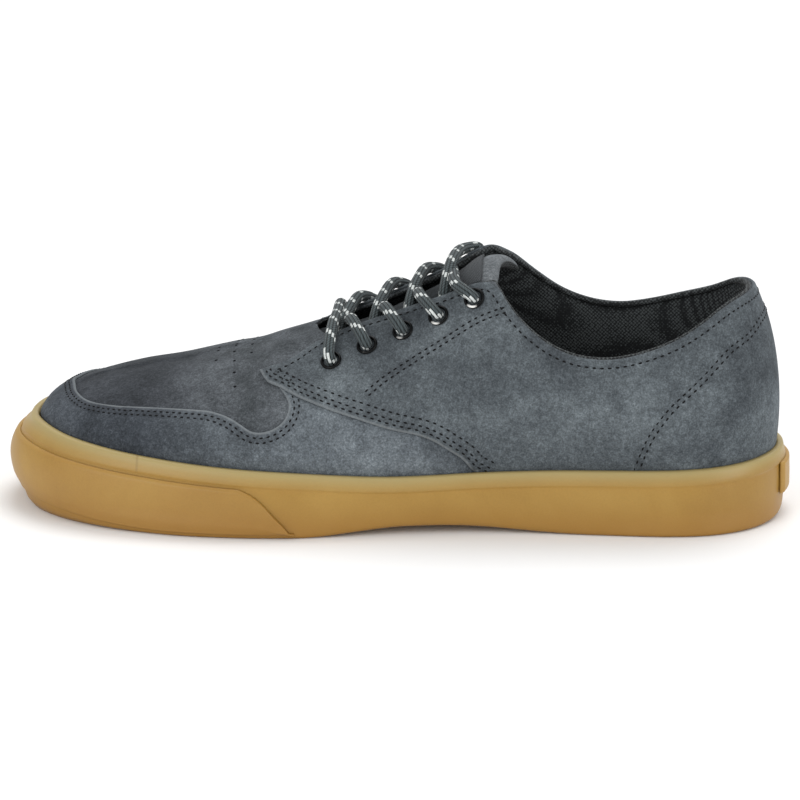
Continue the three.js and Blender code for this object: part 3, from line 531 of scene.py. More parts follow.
def piece(name, bm, look, replaced=()):
    bmesh.ops.recalc_face_normals(bm, faces=bm.faces)
    mesh = bpy.data.meshes.new(name)
    bm.to_mesh(mesh)
    bm.free()
    mesh.materials.append(look)
    mesh.shade_smooth()
    made = bpy.data.objects.new(name, mesh)
    bpy.context.scene.collection.objects.link(made)
    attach(made, "root")
    if replaced:
        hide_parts(*replaced)
    print(name, "has", len(mesh.polygons), "faces")
    return made


def sleeve(outer, inner):
    """A closed slab between two sheets of points."""
    return with_ends(woven(np.concatenate([outer, inner[:, ::-1], outer[:, :1]], axis=1)))


def standing(point, out):
    """The matrix that stands something on a point, along a direction."""
    turn = Vector((0, 0, 1)).rotation_difference(Vector(out)).to_matrix().to_4x4()
    return Matrix.Translation(Vector(point) * MM) @ turn


print("defined how a grid becomes a piece")

# %% Measuring along flat lines
def distance_to(line, spots, closed=False):
    """Distance from flat spots to a line of flat points."""
    ends = np.roll(line, -1, axis=0) if closed else line[1:]
    starts = line if closed else line[:-1]
    best = np.full(len(spots), 1e9)
    for start, end in zip(starts, ends):
        along = end - start
        t = np.clip(((spots - start) @ along) / max(along @ along, 1e-9), 0, 1)
        best = np.minimum(best, np.linalg.norm(spots - start - t[:, None] * along, axis=1))
    return best


def inside_of(outline, spots):
    within = np.zeros(len(spots), bool)
    for start, end in zip(outline, np.roll(outline, -1, axis=0)):
        crosses = (start[1] > spots[:, 1]) != (end[1] > spots[:, 1])
        lean = (end[0] - start[0]) / (end[1] - start[1]) if end[1] != start[1] else 0
        within ^= crosses & (spots[:, 0] < start[0] + (spots[:, 1] - start[1]) * lean)
    return within


def even_line(points, step, closed=False):
    """The same line with points at an even step."""
    points = np.vstack([points, points[:1]]) if closed else points
    run = run_along(points)
    count = max(int(round(run[-1] / step)), 2)
    at = np.linspace(0, run[-1], count + 1)
    even = np.stack([np.interp(at, run, points[:, k]) for k in range(points.shape[1])], 1)
    return even[:-1] if closed else even


def beside(line, distance):
    """The line moved sideways, to its left when the distance is positive."""
    along = unit(np.gradient(line, axis=0))
    return line + np.stack([-along[:, 1], along[:, 0]], 1) * distance


print("the line of the front has", len(even_line(drawn("front", np.linspace(8, 10, 50)), 2.0)), "even points")

# %% [markdown]
# ## Looks
# Each look is mixed from noise at several sizes, in object coordinates, so that nothing repeats. A
# painted picture would show more wear but would not fit another size of shoe. These helpers add a
# node, link what is linked and set what is a plain value.

# %% Helpers for looks
def srgb(red, green, blue):
    channels = []
    for value in (red / 255, green / 255, blue / 255):
        channels.append(value / 12.92 if value <= 0.04045 else ((value + 0.055) / 1.055) ** 2.4)
    return (*channels, 1)


def new_look(name, **settings):
    look = bpy.data.materials.new(name)
    look.use_nodes = True
    tree = look.node_tree
    shader = tree.nodes["Principled BSDF"]
    for socket, value in settings.items():
        shader.inputs[socket.replace("_", " ")].default_value = value
    return look, tree, shader


def feed(tree, socket, value):
    """Link what comes from another node, and set what is a plain value."""
    if hasattr(value, "is_linked"):
        tree.links.new(value, socket)
    else:
        socket.default_value = value


def add(tree, kind, settings=None, **sockets):
    made = tree.nodes.new(kind)
    for key, value in (settings or {}).items():
        setattr(made, key, value)
    for key, value in sockets.items():
        feed(tree, made.inputs[key.replace("_", " ")], value)
    return made


def noise(tree, place, scale, detail=3.0, roughness=0.55, distortion=0.0):
    grain = {"Scale": scale, "Detail": detail, "Roughness": roughness, "Distortion": distortion}
    return add(tree, "ShaderNodeTexNoise", Vector=place, **grain).outputs["Fac"]


def ramp(tree, source, stops):
    made = add(tree, "ShaderNodeValToRGB", Fac=source)
    while len(made.color_ramp.elements) < len(stops):
        made.color_ramp.elements.new(0.5)
    for element, (at, colour) in zip(made.color_ramp.elements, stops):
        element.position = at
        element.color = colour if isinstance(colour, tuple) else (colour, colour, colour, 1)
    return made.outputs["Color"]


def blend(tree, share, first, second, kind="MIX"):
    made = add(tree, "ShaderNodeMix", {"data_type": "RGBA", "blend_type": kind})
    for socket, value in ((0, share), (6, first), (7, second)):
        feed(tree, made.inputs[socket], value)
    return made.outputs[2]


def sums(tree, kind, first, second):
    made = add(tree, "ShaderNodeMath", {"operation": kind})
    for socket, value in zip(made.inputs, (first, second)):
        feed(tree, socket, value)
    return made.outputs[0]


def span(tree, value, low, high, to_low=0.0, to_high=1.0):
    made = add(tree, "ShaderNodeMapRange", {"interpolation_type": "SMOOTHSTEP"}, Value=value)
    for socket, number in zip(("From Min", "From Max", "To Min", "To Max"), (low, high, to_low, to_high)):
        made.inputs[socket].default_value = number
    return made.outputs["Result"]


def bump(tree, shader, layers):
    """Bump from several (height, strength, distance) layers, one over the other."""
    normal = None
    for height, strength, distance in layers:
        made = add(tree, "ShaderNodeBump", Height=height, Strength=strength, Distance=distance)
        if normal:
            tree.links.new(normal, made.inputs["Normal"])
        normal = made.outputs["Normal"]
    tree.links.new(normal, shader.inputs["Normal"])


def objects_place(tree):
    return tree.nodes.new("ShaderNodeTexCoord").outputs["Object"]


def carried(tree, name):
    return add(tree, "ShaderNodeAttribute", {"attribute_name": name}).outputs["Fac"]


print("mid grey is", round(srgb(128, 128, 128)[0], 3), "in linear light")


# %% [markdown]
# ### Suede
# Suede is soft and dull, with a nap that catches light in patches. Hair could be grown on it, but at
# this size colour noise and a fine bump look the same and stay light. Each panel carries how far a
# point is from its raw edge and from its stitches. The cut is paler, partly its own colour and partly
# a painted highlight, and painted shade darkens the pulled-in seams.

# %% Suede
def suede_look(name, dark, middle, light, edges=True):
    look, tree, shader = new_look(name, Roughness=0.95, Specular_IOR_Level=0.12, Sheen_Weight=0.12)
    shader.inputs["Sheen Roughness"].default_value = 0.5
    shader.inputs["Sheen Tint"].default_value = srgb(170, 176, 182)
    place = objects_place(tree)
    broad = noise(tree, place, 26, 3, 0.55, 0.4)
    patches = noise(tree, place, 120, 5, 0.6, 0.3)
    specks = noise(tree, place, 620, 4, 0.75)
    fibres = noise(tree, place, 1500, 3, 0.7)
    tone = sums(tree, "ADD", sums(tree, "MULTIPLY", broad, 0.6), sums(tree, "MULTIPLY", patches, 0.4))
    colour = ramp(tree, tone, [(0.38, dark), (0.5, middle), (0.63, light)])
    speckle = ramp(tree, specks, [(0.38, 0.7), (0.5, 0.96), (0.64, 1.3)])
    colour = blend(tree, 0.8, colour, speckle, "MULTIPLY")
    fluff = ramp(tree, fibres, [(0.36, 0.62), (0.5, 0.95), (0.66, 1.5)])
    colour = blend(tree, 0.75, colour, fluff, "MULTIPLY")
    forward = add(tree, "ShaderNodeSeparateXYZ", Vector=place).outputs["X"]
    colour = blend(tree, span(tree, forward, 0.056, 0.1), colour, (0.45, 0.45, 0.475, 1), "MULTIPLY")
    layers = [(patches, 0.15, 0.001), (specks, 0.3, 0.0004), (fibres, 0.3, 0.0002)]
    if edges:
        # The raw cut is paler: partly its own colour, partly a painted highlight on the rolled edge.
        raw = span(tree, carried(tree, "edge"), 0.35, 1.3, 0.6, 0.0)
        colour = blend(tree, raw, colour, srgb(124, 129, 132))
        sewn = carried(tree, "sewn")
        # Painted shade: the suede is darkened round the stitches, where the seams are pulled in.
        colour = blend(tree, span(tree, sewn, 0.15, 0.7, 0.2, 0.0), colour, srgb(40, 43, 46))
        layers.append((span(tree, sewn, 0.1, 1.2), 0.7, 0.0005))
    tree.links.new(colour, shader.inputs["Base Color"])
    bump(tree, shader, layers)
    return look


suede = suede_look("suede", srgb(66, 71, 75), srgb(81, 87, 91), srgb(100, 107, 111))
toe_suede = suede_look("toe suede", srgb(70, 75, 79), srgb(87, 93, 98), srgb(107, 114, 119))
plain_suede = suede_look("plain suede", srgb(64, 68, 71), srgb(82, 86, 90), srgb(101, 106, 110), edges=False)
tongue_suede = suede_look("tongue suede", srgb(34, 36, 38), srgb(48, 51, 53), srgb(64, 68, 70), edges=False)
pale_suede = suede_look("pale suede", srgb(90, 94, 97), srgb(108, 112, 115), srgb(126, 130, 133), edges=False)
print("made five suedes")

# %% [markdown]
# ### Gum rubber
# Gum rubber is satin, slightly uneven and lets a little light in. Painted shade darkens the wall
# towards the floor. The band round the top of the cup is paler and greener towards its edge, partly
# its own tint and partly painted sheen. It is one piece with the wall, so the colour follows the
# rows of the section and not a second material.

# %% Gum rubber
BAND_ROW = 26
BAND_JOINT = 0.0955


def gum_look(name, dark, middle, light, banded=False):
    look, tree, shader = new_look(name, Roughness=0.42, Specular_IOR_Level=0.4, Subsurface_Weight=0.05)
    shader.inputs["Subsurface Radius"].default_value = (0.004, 0.002, 0.001)
    place = objects_place(tree)
    broad = noise(tree, place, 22, 4, 0.6, 0.3)
    fine = noise(tree, place, 620, 4, 0.6)
    colour = ramp(tree, broad, [(0.3, dark), (0.5, middle), (0.72, light)])
    specks = ramp(tree, noise(tree, place, 1500, 2, 0.5), [(0.3, 0.9), (0.55, 1.0), (0.75, 1.06)])
    colour = blend(tree, 0.5, colour, specks, "MULTIPLY")
    parts = add(tree, "ShaderNodeSeparateXYZ", Vector=place)
    # Painted shade: the rubber is darker and deeper in colour towards the floor.
    low = span(tree, parts.outputs["Z"], 0.0, 0.016, 0.6, 0.0)
    colour = blend(tree, low, colour, srgb(148, 104, 40))
    if banded:
        row = carried(tree, "row")
        # The band's paler, greener top: partly its own tint, partly painted sheen that grows towards its top
        # edge.
        above = span(tree, row, BAND_ROW - 1.5, BAND_ROW)
        band_tint_and_sheen = span(tree, row, BAND_ROW - 0.5, BAND_ROW + 3, 0.12, 0.9)
        colour = blend(tree, sums(tree, "MULTIPLY", above, band_tint_and_sheen), colour, srgb(160, 144, 96))
        from_joint = sums(tree, "SUBTRACT", parts.outputs["X"], BAND_JOINT)
        apart = sums(tree, "ABSOLUTE", from_joint, 0.0)
        joint = sums(tree, "MULTIPLY", span(tree, apart, 0.0002, 0.0007, 0.4, 0.0), above)
        colour = blend(tree, joint, colour, srgb(120, 98, 56))
    tree.links.new(colour, shader.inputs["Base Color"])
    tree.links.new(ramp(tree, broad, [(0.3, 0.36), (0.7, 0.52)]), shader.inputs["Roughness"])
    bump(tree, shader, [(fine, 0.1, 0.0003), (broad, 0.15, 0.0006)])
    return look


gum = gum_look("gum", srgb(148, 112, 46), srgb(157, 121, 53), srgb(165, 130, 62), banded=True)
bumper_gum = gum_look("bumper gum", srgb(148, 111, 48), srgb(157, 120, 55), srgb(165, 130, 63))
patch_gum = gum_look("patch gum", srgb(158, 120, 54), srgb(168, 131, 62), srgb(177, 141, 72))
print("made the rubbers")

# %% [markdown]
# ### Cloth, thread, enamel and lace
# The lining is a knitted mesh with small knots, made here from evenly spread cells. A modelled knit
# would be far too heavy. The lace is braided, with pale dashes that run askew, so its look follows
# its own flat map: round the cord and along it.

# %% Cloth, thread, enamel and lace
def cloth_look(name, dark, light, cell):
    look, tree, shader = new_look(name, Roughness=0.85, Specular_IOR_Level=0.15, Sheen_Weight=0.08)
    place = objects_place(tree)
    turned = add(tree, "ShaderNodeMapping", Vector=place, Rotation=(0, 0.72, 0)).outputs["Vector"]
    cells = add(tree, "ShaderNodeTexVoronoi", {"feature": "F1"}, Vector=turned, Scale=cell, Randomness=0.28)
    knots = span(tree, cells.outputs["Distance"], 0.25, 0.6, 1.0, 0.0)
    fuzz = noise(tree, place, 2000, 3)
    colour = blend(tree, knots, dark, light)
    colour = blend(tree, 0.5, colour, ramp(tree, fuzz, [(0.3, 0.7), (0.7, 1.3)]), "MULTIPLY")
    tree.links.new(colour, shader.inputs["Base Color"])
    bump(tree, shader, [(knots, 0.5, 0.0004), (fuzz, 0.3, 0.0002)])
    return look


mesh_cloth = cloth_look("mesh cloth", srgb(33, 35, 36), srgb(77, 81, 82), 960)
label_cloth = cloth_look("label cloth", srgb(58, 61, 64), srgb(74, 78, 81), 1800)
thread, _, thread_shader = new_look("thread", Roughness=0.6, Specular_IOR_Level=0.15)
thread_shader.inputs["Base Color"].default_value = srgb(10, 11, 13)
# Painted shade: a near-black look for the pinholes, in place of the shade inside a punched hole.
painted_hole_shade, _, hole_shader = new_look("painted hole shade", Roughness=0.95, Specular_IOR_Level=0.05)
hole_shader.inputs["Base Color"].default_value = srgb(24, 25, 27)
enamel, enamel_tree, enamel_shader = new_look("enamel", Roughness=0.3, Specular_IOR_Level=0.12)
# Painted highlight: the enamel is near black, and the top of its rim is painted nearly white on the ring's
# lower side, as the reflection of the floor.
rim_highlight_stops = [(0.2, srgb(9, 10, 11)), (0.9, srgb(240, 240, 236))]
painted_rim_highlight = ramp(enamel_tree, carried(enamel_tree, "rim_highlight_share"), rim_highlight_stops)
enamel_tree.links.new(painted_rim_highlight, enamel_shader.inputs["Base Color"])
print("made the cloths, the thread and the enamel")

# %% The lace's braid
RIBS = 10
DASH = 2.3
DASH_REPEAT = 10.5
LANES = 5
PALE_LANES = 3.5


def lace_look():
    look, tree, shader = new_look("lace", Roughness=0.75, Specular_IOR_Level=0.2, Sheen_Weight=0.1)
    flat = add(tree, "ShaderNodeUVMap", {"uv_map": "flat"}).outputs["UV"]
    parts = add(tree, "ShaderNodeSeparateXYZ", Vector=flat)
    round_it = sums(tree, "MULTIPLY", parts.outputs["X"], float(RIBS))
    along_it = sums(tree, "MULTIPLY", parts.outputs["Y"], 1000.0)
    rib = sums(tree, "FLOOR", round_it, 0.0)
    in_rib = sums(tree, "PINGPONG", round_it, 0.5)
    ridge_line = span(tree, in_rib, 0.04, 0.3)
    slanted = sums(tree, "ADD", sums(tree, "MULTIPLY", along_it, 0.8), round_it)
    weave = span(tree, sums(tree, "PINGPONG", slanted, 0.5), 0.05, 0.4)
    relief = sums(tree, "ADD", sums(tree, "MULTIPLY", ridge_line, 0.7), sums(tree, "MULTIPLY", weave, 0.3))
    # Painted shade and highlight: the braid is darker in the grooves between its ribs and lighter on their
    # ridges.
    colour = ramp(tree, relief, [(0.1, srgb(26, 31, 32)), (0.6, srgb(56, 64, 66)), (0.95, srgb(74, 83, 85))])
    shifted = sums(tree, "SUBTRACT", along_it, sums(tree, "MULTIPLY", rib, 1.5))
    phase = sums(tree, "MODULO", sums(tree, "ADD", shifted, 200.0), DASH_REPEAT)
    lane = sums(tree, "MODULO", rib, LANES)
    dash = sums(tree, "LESS_THAN", phase, DASH)
    dash = sums(tree, "MULTIPLY", dash, sums(tree, "LESS_THAN", lane, PALE_LANES))
    dash = sums(tree, "MULTIPLY", dash, span(tree, in_rib, 0.08, 0.16))
    colour = blend(tree, dash, colour, srgb(205, 210, 208))
    fuzz = noise(tree, objects_place(tree), 2600, 3)
    colour = blend(tree, 0.5, colour, ramp(tree, fuzz, [(0.3, 0.75), (0.7, 1.25)]), "MULTIPLY")
    tree.links.new(colour, shader.inputs["Base Color"])
    bump(tree, shader, [(relief, 0.8, 0.0006), (fuzz, 0.3, 0.0002)])
    return look


lace_cord = lace_look()
print("the braid has", RIBS, "ribs")

# %% [markdown]
# ## The gum sole
# The sole is a moulded cup. Its side swells over the foot, a thin band steps out round the top, and
# the well inside takes the upper. It is laid here section by section, and the grooves are then cut
# into the tread with plane cuts and an inset.

# %% The sole's side
sole_side = table(
    ("station", "fullness", "foot", "spring"),
    (0, 1, 0.72, 1), (1, 1, 1, 0.40), (2.5, 1.02, 1.18, 0.08), (4, 1.05, 1.26, 0), (6, 0.92, 0.78, 0),
    (8.5, 0.84, 0.66, 0), (10.5, 1.05, 1.22, 0), (12, 1.10, 1.36, 0), (13, 1.08, 1.26, 0.22),
    (14, 1.03, 1.02, 0.58), (15, 1.02, 0.84, 0.84), (16, 1, 0.52, 1),
)
EDGE_ROUND = 2


def sole_under(x):
    along = along_of(x)
    return ARCH_RISE * ease(0.25, 0.45, along) * (1 - ease(0.48, 0.63, along))


def on_sole(place, level, offset):
    place, level, offset = together(place, level, offset)
    spine, out, reach, foot, station, _ = section(place)
    to_ball = mix(HEEL_RUBBER, SIDE_RUBBER, ease(0.5, 4, station))
    rubber = mix(to_ball, TOE_RUBBER, ease(12, 15.4, station))
    full = read(sole_side, "fullness", station) * rubber
    at_foot = read(sole_side, "foot", station) * rubber
    bulge = np.sin(np.pi * np.minimum(np.maximum(level, 0) * 1.1, 1) ** 0.9).clip(0) ** 0.8
    straight = mix(at_foot, RUBBER_EDGE, level)
    outward = np.maximum(straight, mix(straight, full, bulge)) + offset
    x = spine[..., 0] + out[..., 0] * (reach + outward)
    y = spine[..., 1] + out[..., 1] * (reach + outward)
    spring = np.where(station < 8, HEEL_SPRING, TOE_SPRING)
    low = np.maximum(sole_under(x), read(sole_side, "spring", station) * spring)
    return np.stack([x, y, mix(low, foot, level)], -1)


def band_level(place):
    return 1 - BAND_HEIGHT / (section(place)[3] - on_sole(place, 0, 0)[..., 2])


print("at the ball the band starts at", round(float(band_level(10)), 2), "of the side's height")

# %% The sole's rows
places = np.linspace(0, RING, 385)
spine, out, reach, foot, station, _ = section(places)
band = band_level(places)
lower = on_sole(places, 0, 0)
tread = np.linalg.norm(lower[..., :2] - spine, axis=-1) - EDGE_ROUND
well = surface(places, -1, GAP)
edge_level = EDGE_ROUND / foot


def inside_sole(distance, height):
    """Points at a distance out from the spine, with heights read along the shoe."""
    across = spine + out * np.asarray(distance)[..., None]
    return np.concatenate([across, height(across[:, 0])[:, None]], axis=1)


rows = [inside_sole(tread * share, sole_under) for share in (0, 0.35, 0.72, 0.97)]
low_in = inside_sole(tread, sole_under)
corner = on_sole(places, edge_level * 0.12, 0)
up_out = on_sole(places, edge_level, 0)
for turn in (0.25, 0.5, 0.75):
    rows.append((1 - turn) ** 2 * low_in + 2 * turn * (1 - turn) * corner + turn**2 * up_out)
for share in np.linspace(0, 1, 17):
    rows.append(on_sole(places, mix(edge_level, band - 0.035, share), 0))
rows.append(on_sole(places, band - 0.012, 0.05))
rows.append(on_sole(places, band + 0.006, BAND_STEP * 0.5))
rows.append(on_sole(places, band + 0.03, BAND_STEP))
for share in (0.35, 0.7, 0.93):
    rows.append(on_sole(places, mix(band + 0.03, 1, share), mix(BAND_STEP, -BAND_STEP * 0.6, share)))
rows.append(on_sole(places, 1, -BAND_STEP - 0.4))
rows.append(on_sole(places, 1, -BAND_STEP - 1.2))
rows += [surface(places, rise, GAP) for rise in (0, -0.1, -0.4, -0.9)]
rows.append(np.stack([well[:, 0], well[:, 1], cup_floor(well[:, 0])], -1))
rows.append(inside_sole(np.linalg.norm(well[:, :2] - spine, axis=-1) * 0.5, cup_floor))
rows.append(inside_sole(0, cup_floor))
bm = woven(np.stack(rows, 1))
loose = [face for face in bm.faces if face.calc_area() < 1e-12]
bmesh.ops.delete(bm, geom=loose, context="FACES")
bmesh.ops.recalc_face_normals(bm, faces=bm.faces)
print("the sole has", len(rows), "rows before its grooves")

# %% [markdown]
# ### Flex grooves
# Grooves across the tread let the sole bend. They could be cut with a boolean, but plane cuts and an
# inset leave clean faces in the same mesh.

# %% Grooves across the tread
GROOVE = 2.4
GROOVE_DEEP = 1.6
GROOVE_SLOPE = 0.25
GROOVE_PITCH = 15
GROOVE_WIDTH = 0.68


def tread_faces(bm):
    return [face for face in bm.faces if face.normal.z < -0.9 and face.calc_center_median().z < 0.006]


for first, count in ((0.1, 4), (0.64, 5)):
    for k in range(count):
        middle = x_of(first) + k * GROOVE_PITCH
        half = width_at(along_of(middle)) * GROOVE_WIDTH / 2
        for plane in ((middle - GROOVE / 2, 0, 0), (middle + GROOVE / 2, 0, 0), (0, -half, 0), (0, half, 0)):
            near = tread_faces(bm)
            edges = {edge for face in near for edge in face.edges}
            verts = {vert for face in near for vert in face.verts}
            plane = Vector(plane) * MM
            geom = near + list(edges) + list(verts)
            bmesh.ops.bisect_plane(bm, geom=geom, plane_co=plane, plane_no=plane.normalized(), dist=1e-6)
        cut = []
        for face in tread_faces(bm):
            spot = face.calc_center_median()
            if abs(spot.x - middle * MM) < GROOVE / 2 * MM and abs(spot.y) < half * MM:
                cut.append(face)
        slope, deep = GROOVE_SLOPE * MM, -GROOVE_DEEP * MM
        bmesh.ops.inset_region(bm, faces=cut, thickness=slope, depth=deep, use_even_offset=True)
piece("cup_sole", bm, gum, ["sole"])

# %% [markdown]
# ## Toe bumper and heel patch
# Both are second layers of rubber on the cup's side. Each is a strip with a rounded edge, laid over
# the same side surface as the sole.

# %% Strips on the sole
def strip(places, low, high, inner, outer, rows=14, low_taper=0.03):
    """A closed strip on the sole's side; its outline is rounded towards its edge."""
    columns = np.arange(len(places))
    end_fall = ease(0, 2, np.minimum(columns, columns[::-1]))
    stack = []
    for share in np.concatenate([[0, 0.015, 0.04], np.linspace(0.08, 0.92, rows), [0.96, 0.985, 1]]):
        edge_fall = ease(0, 0.04, 1 - share) * ease(-0.02, low_taper, share)
        rise = mix(inner + (outer - inner) * 0.4, outer, np.minimum(edge_fall, end_fall))
        stack.append(on_sole(places, mix(low, high, share), rise))
    stack.append(on_sole(places, high, inner))
    stack.append(on_sole(places, low, inner))
    stack.append(stack[0])
    stack = np.stack(stack, 1)
    ends = [np.repeat(stack[k][None, -2:-1], stack.shape[1], axis=1) for k in (0, -1)]
    return woven(np.concatenate([ends[0], stack, ends[1]]))


bumper_back = table(
    ("along", "level"),
    (0.634, 0.00), (0.645, 0.17), (0.660, 0.35), (0.674, 0.53), (0.687, 0.65), (0.700, 0.72),
    (0.726, 0.80), (0.760, 1.00),
)
BUMPER_START = 9.97
BUMPER_FULL = 10.9
near_end = BUMPER_START + np.linspace(0, 1, 60) ** 1.3 * 0.9
round_toe = np.linspace(BUMPER_FULL, RING - BUMPER_FULL, 181)
bumper_places = np.concatenate([near_end, round_toe, RING - near_end[::-1]])
bumper_low = EDGE_ROUND / section(bumper_places)[3]
curve = read(bumper_back, "level", along_of(on_sole(bumper_places, 0.4, 0)[:, 0]))
bumper_high = np.maximum(np.minimum(band_level(bumper_places) - 0.04, curve), bumper_low + 0.02)
bm = strip(bumper_places, bumper_low, bumper_high, GAP * 0.5, BUMPER_RISE, low_taper=0.22)
piece("toe_bumper_rubber", bm, bumper_gum, ["toe_bumper"])

PATCH_END = 0.88
PATCH_LOW = 0.34
patch_places = np.linspace(-PATCH_END, PATCH_END, 41)
patch_low = np.full(len(patch_places), PATCH_LOW)
bm = strip(patch_places, patch_low, band_level(patch_places) + 0.02, BAND_STEP * 0.5, PATCH_RISE)
piece("heel_patch_rubber", bm, patch_gum, ["heel_patch"])

# %% [markdown]
# ## Creases
# A worn suede upper folds where the foot bends. The main folds are soft troughs and ridges placed
# in the shoe's own sizes. Each has a middle, a direction, a length, a width and a depth, and
# all layers follow it together. Sculpting would do this too but could not be read or changed later.

# %% Table of creases, in millimetres on the shoe
creases = table(
    ("x", "z", "turn", "length", "width", "depth", "side"),
    (58, 57, -62, 26, 5.0, -0.9, 1),
    (47, 60, -66, 22, 4.0, 0.6, 1),
    (38, 51, -58, 26, 5.0, -0.7, 1),
    (20, 45, -40, 30, 6.0, -0.8, 1),
    (8, 52, -35, 26, 5.0, 0.6, 1),
    (-10, 42, -30, 34, 7.0, -0.7, 1),
    (-112, 50, 58, 32, 7.0, -2.0, 1),
    (-102, 44, 60, 26, 7.0, 0.9, 1),
    (-82, 60, 8, 36, 7.0, -0.5, 1),
    (80, 46, -15, 30, 8.0, -0.4, 1),
    (56, 58, -60, 24, 5.0, -0.8, -1),
    (30, 48, -50, 30, 6.0, -0.7, -1),
    (-40, 48, -20, 34, 8.0, -0.6, -1),
    (-110, 50, 55, 28, 7.0, -0.9, -1),
)


def creased(points):
    """How far the folds move points of the last, outward when positive."""
    move = np.zeros(points.shape[:-1])
    for k in range(len(creases["x"])):
        row = {name: values[k] for name, values in creases.items()}
        turn = math.radians(row["turn"])
        away_x = points[..., 0] - row["x"]
        away_z = points[..., 2] - row["z"]
        along = away_x * math.cos(turn) + away_z * math.sin(turn)
        across = -away_x * math.sin(turn) + away_z * math.cos(turn)
        across = across + 0.02 * along**2 / row["width"]
        fold = np.exp(-((along / (row["length"] * 0.55)) ** 2) - (across / row["width"]) ** 2)
        same_side = ease(-6, 10, points[..., 1] * row["side"])
        move = move + row["depth"] * fold * same_side
    return move * ease(RUBBER_TOP, RUBBER_TOP + 9, points[..., 2])


def pulled(place, rise, offset):
    """A point over the last, with the folds."""
    base = on_last(place, rise)
    return surface(place, rise, offset + creased(base))


print(len(creases["x"]), "creases")

# %% [markdown]
# ## Vamp
# The upper's own shell shows only on the vamp, under the panels. It is laid as a closed loop, up the
# outside from the cup to the edge and down the inside, so that the cut edge shows its thickness. A
# solidify modifier would do too, but the loop gives each side its own rows.

# %% The shell of the upper
def shell(places, low, high, outer, inner, edge_lift, rows=26, inner_rows=10):
    """A closed wall between two offsets, as loops of rise round each half section."""
    stack = []
    for share in np.linspace(0, 1, rows + 1):
        stack.append(pulled(places, mix(low, high, share), outer))
    rim = pulled(places, high, (outer + inner) / 2)
    rim[:, 2] += edge_lift
    stack.append(rim)
    for share in np.linspace(1, 0, inner_rows + 1):
        stack.append(pulled(places, mix(low, high, share), inner))
    stack.append(stack[0])
    return np.stack(stack, 1)


UPPER_COLUMNS = 640
UPPER_FOOT = -0.9
VAMP_WALL = 0.9
VAMP_EDGE_LIFT = 0.2
places = np.linspace(0, RING, UPPER_COLUMNS + 1)
edge = upper_edge(places)
foot_rise = np.full(len(places), UPPER_FOOT)
vamp_points = shell(places, foot_rise, edge, UPPER_OUTSIDE, UPPER_OUTSIDE - VAMP_WALL, VAMP_EDGE_LIFT)
piece("vamp_and_shell", woven(vamp_points), plain_suede, ["upper"])

# %% [markdown]
# ### Lining
# The lining is mesh over foam. It stands inside the shell, swells below the collar and rolls over
# the edge as a soft binding. Each row stands a set way down from the collar line, so the roll keeps
# its size all the way round.

# %% The lining and its rolled collar
edge_flat = flattened(places, edge)
whole = np.interp(places, dense_place, arc_up[:, -1])
collar_share = ease(9.2, 7.6, station_of(places))
foam = table(
    ("down", "depth"),
    (60, 0), (46, 0), (36, 0.2), (28, 0.8), (22, 1.3), (17, 1.5), (12, 1.4), (8, 1.0), (5, 0.5), (3, 0.1),
)
stack = [pulled(places, share, UPPER_INSIDE) for share in (-0.95, -0.5, 0.0)]
for down, depth in zip(foam["down"], foam["depth"]):
    spot = np.stack([edge_flat[:, 0], np.maximum(edge_flat[:, 1] - down, 0.4)], -1)
    _, rise = lasted(spot)
    stack.append(pulled(places, rise, UPPER_INSIDE - depth * collar_share))
roll = mix(0.4, 1.15, collar_share)
roll_middle = UPPER_OUTSIDE - mix(1.1, 1.25, collar_share)
for turn in np.linspace(-0.5, 1.15, 9) * math.pi:
    spot = np.stack([edge_flat[:, 0], edge_flat[:, 1] - 0.2 + roll * math.sin(turn)], -1)
    _, rise = lasted(np.minimum(spot, np.stack([spot[:, 0], whole], -1)))
    stack.append(pulled(places, rise, roll_middle - roll * math.cos(turn)))
lining = piece("mesh_lining", woven(np.stack(stack, 1)), mesh_cloth)

# %% [markdown]
# ### Insole
# A foam sheet cut to the inside of the cup. A short profile from its middle to its rim is laid at
# every section, which rounds its upper edge.

# %% The insole
insole_places = np.linspace(0, RING, 257)
spine, out, reach, foot, station, _ = section(insole_places)
rim = surface(insole_places, -0.9, UPPER_INSIDE - GAP)
rim_reach = np.linalg.norm(rim[:, :2] - spine, axis=-1) * 0.985
insole_profile = (
    (0, 0), (0.5, 0), (0.94, 0), (1, 0.8), (1, INSOLE - 0.9), (0.985, INSOLE - 0.25),
    (0.955, INSOLE), (0.7, INSOLE), (0.35, INSOLE), (0, INSOLE),
)
stack = []
for share, lift in insole_profile:
    flat = spine + out * (rim_reach * share)[:, None]
    stack.append(np.concatenate([flat, (cup_floor(flat[:, 0]) + GAP + lift)[:, None]], 1))
piece("foam_insole", woven(np.stack(stack, 1)), mesh_cloth, ["insole"])

# %% [markdown]
# ## The panels
# Mudguard and quarters are cut flat. A circle operator gives the outline's points, insets follow the
# edge, plane cuts make the grid, an extrusion gives the thickness, and the last pulls them to shape.

# %% Outlines of the panels
TUCKED = -2.5
top_places = np.linspace(-TIP_STATION, TIP_STATION, 1401)
tops = flattened(top_places, quarter_edge(top_places))
front_places = np.linspace(FRONT_START, TIP_STATION, 260)
front_outer = drawn("front", front_places)
front_inner = flattened(-front_places, line_rise("front", -front_places))
quarter_outline = np.vstack([
    tops,
    front_outer[::-1],
    [[front_outer[0, 0] - 0.5, TUCKED]],
    [[front_inner[0, 0] + 0.5, TUCKED]],
    front_inner,
])


def rounded(outline):
    """The outline at an even step of 1 mm, with its corners eased."""
    outline = even_line(outline, 1.0, closed=True)
    for _ in range(3):
        outline = (np.roll(outline, 1, 0) + 2 * outline + np.roll(outline, -1, 0)) / 4
    return outline


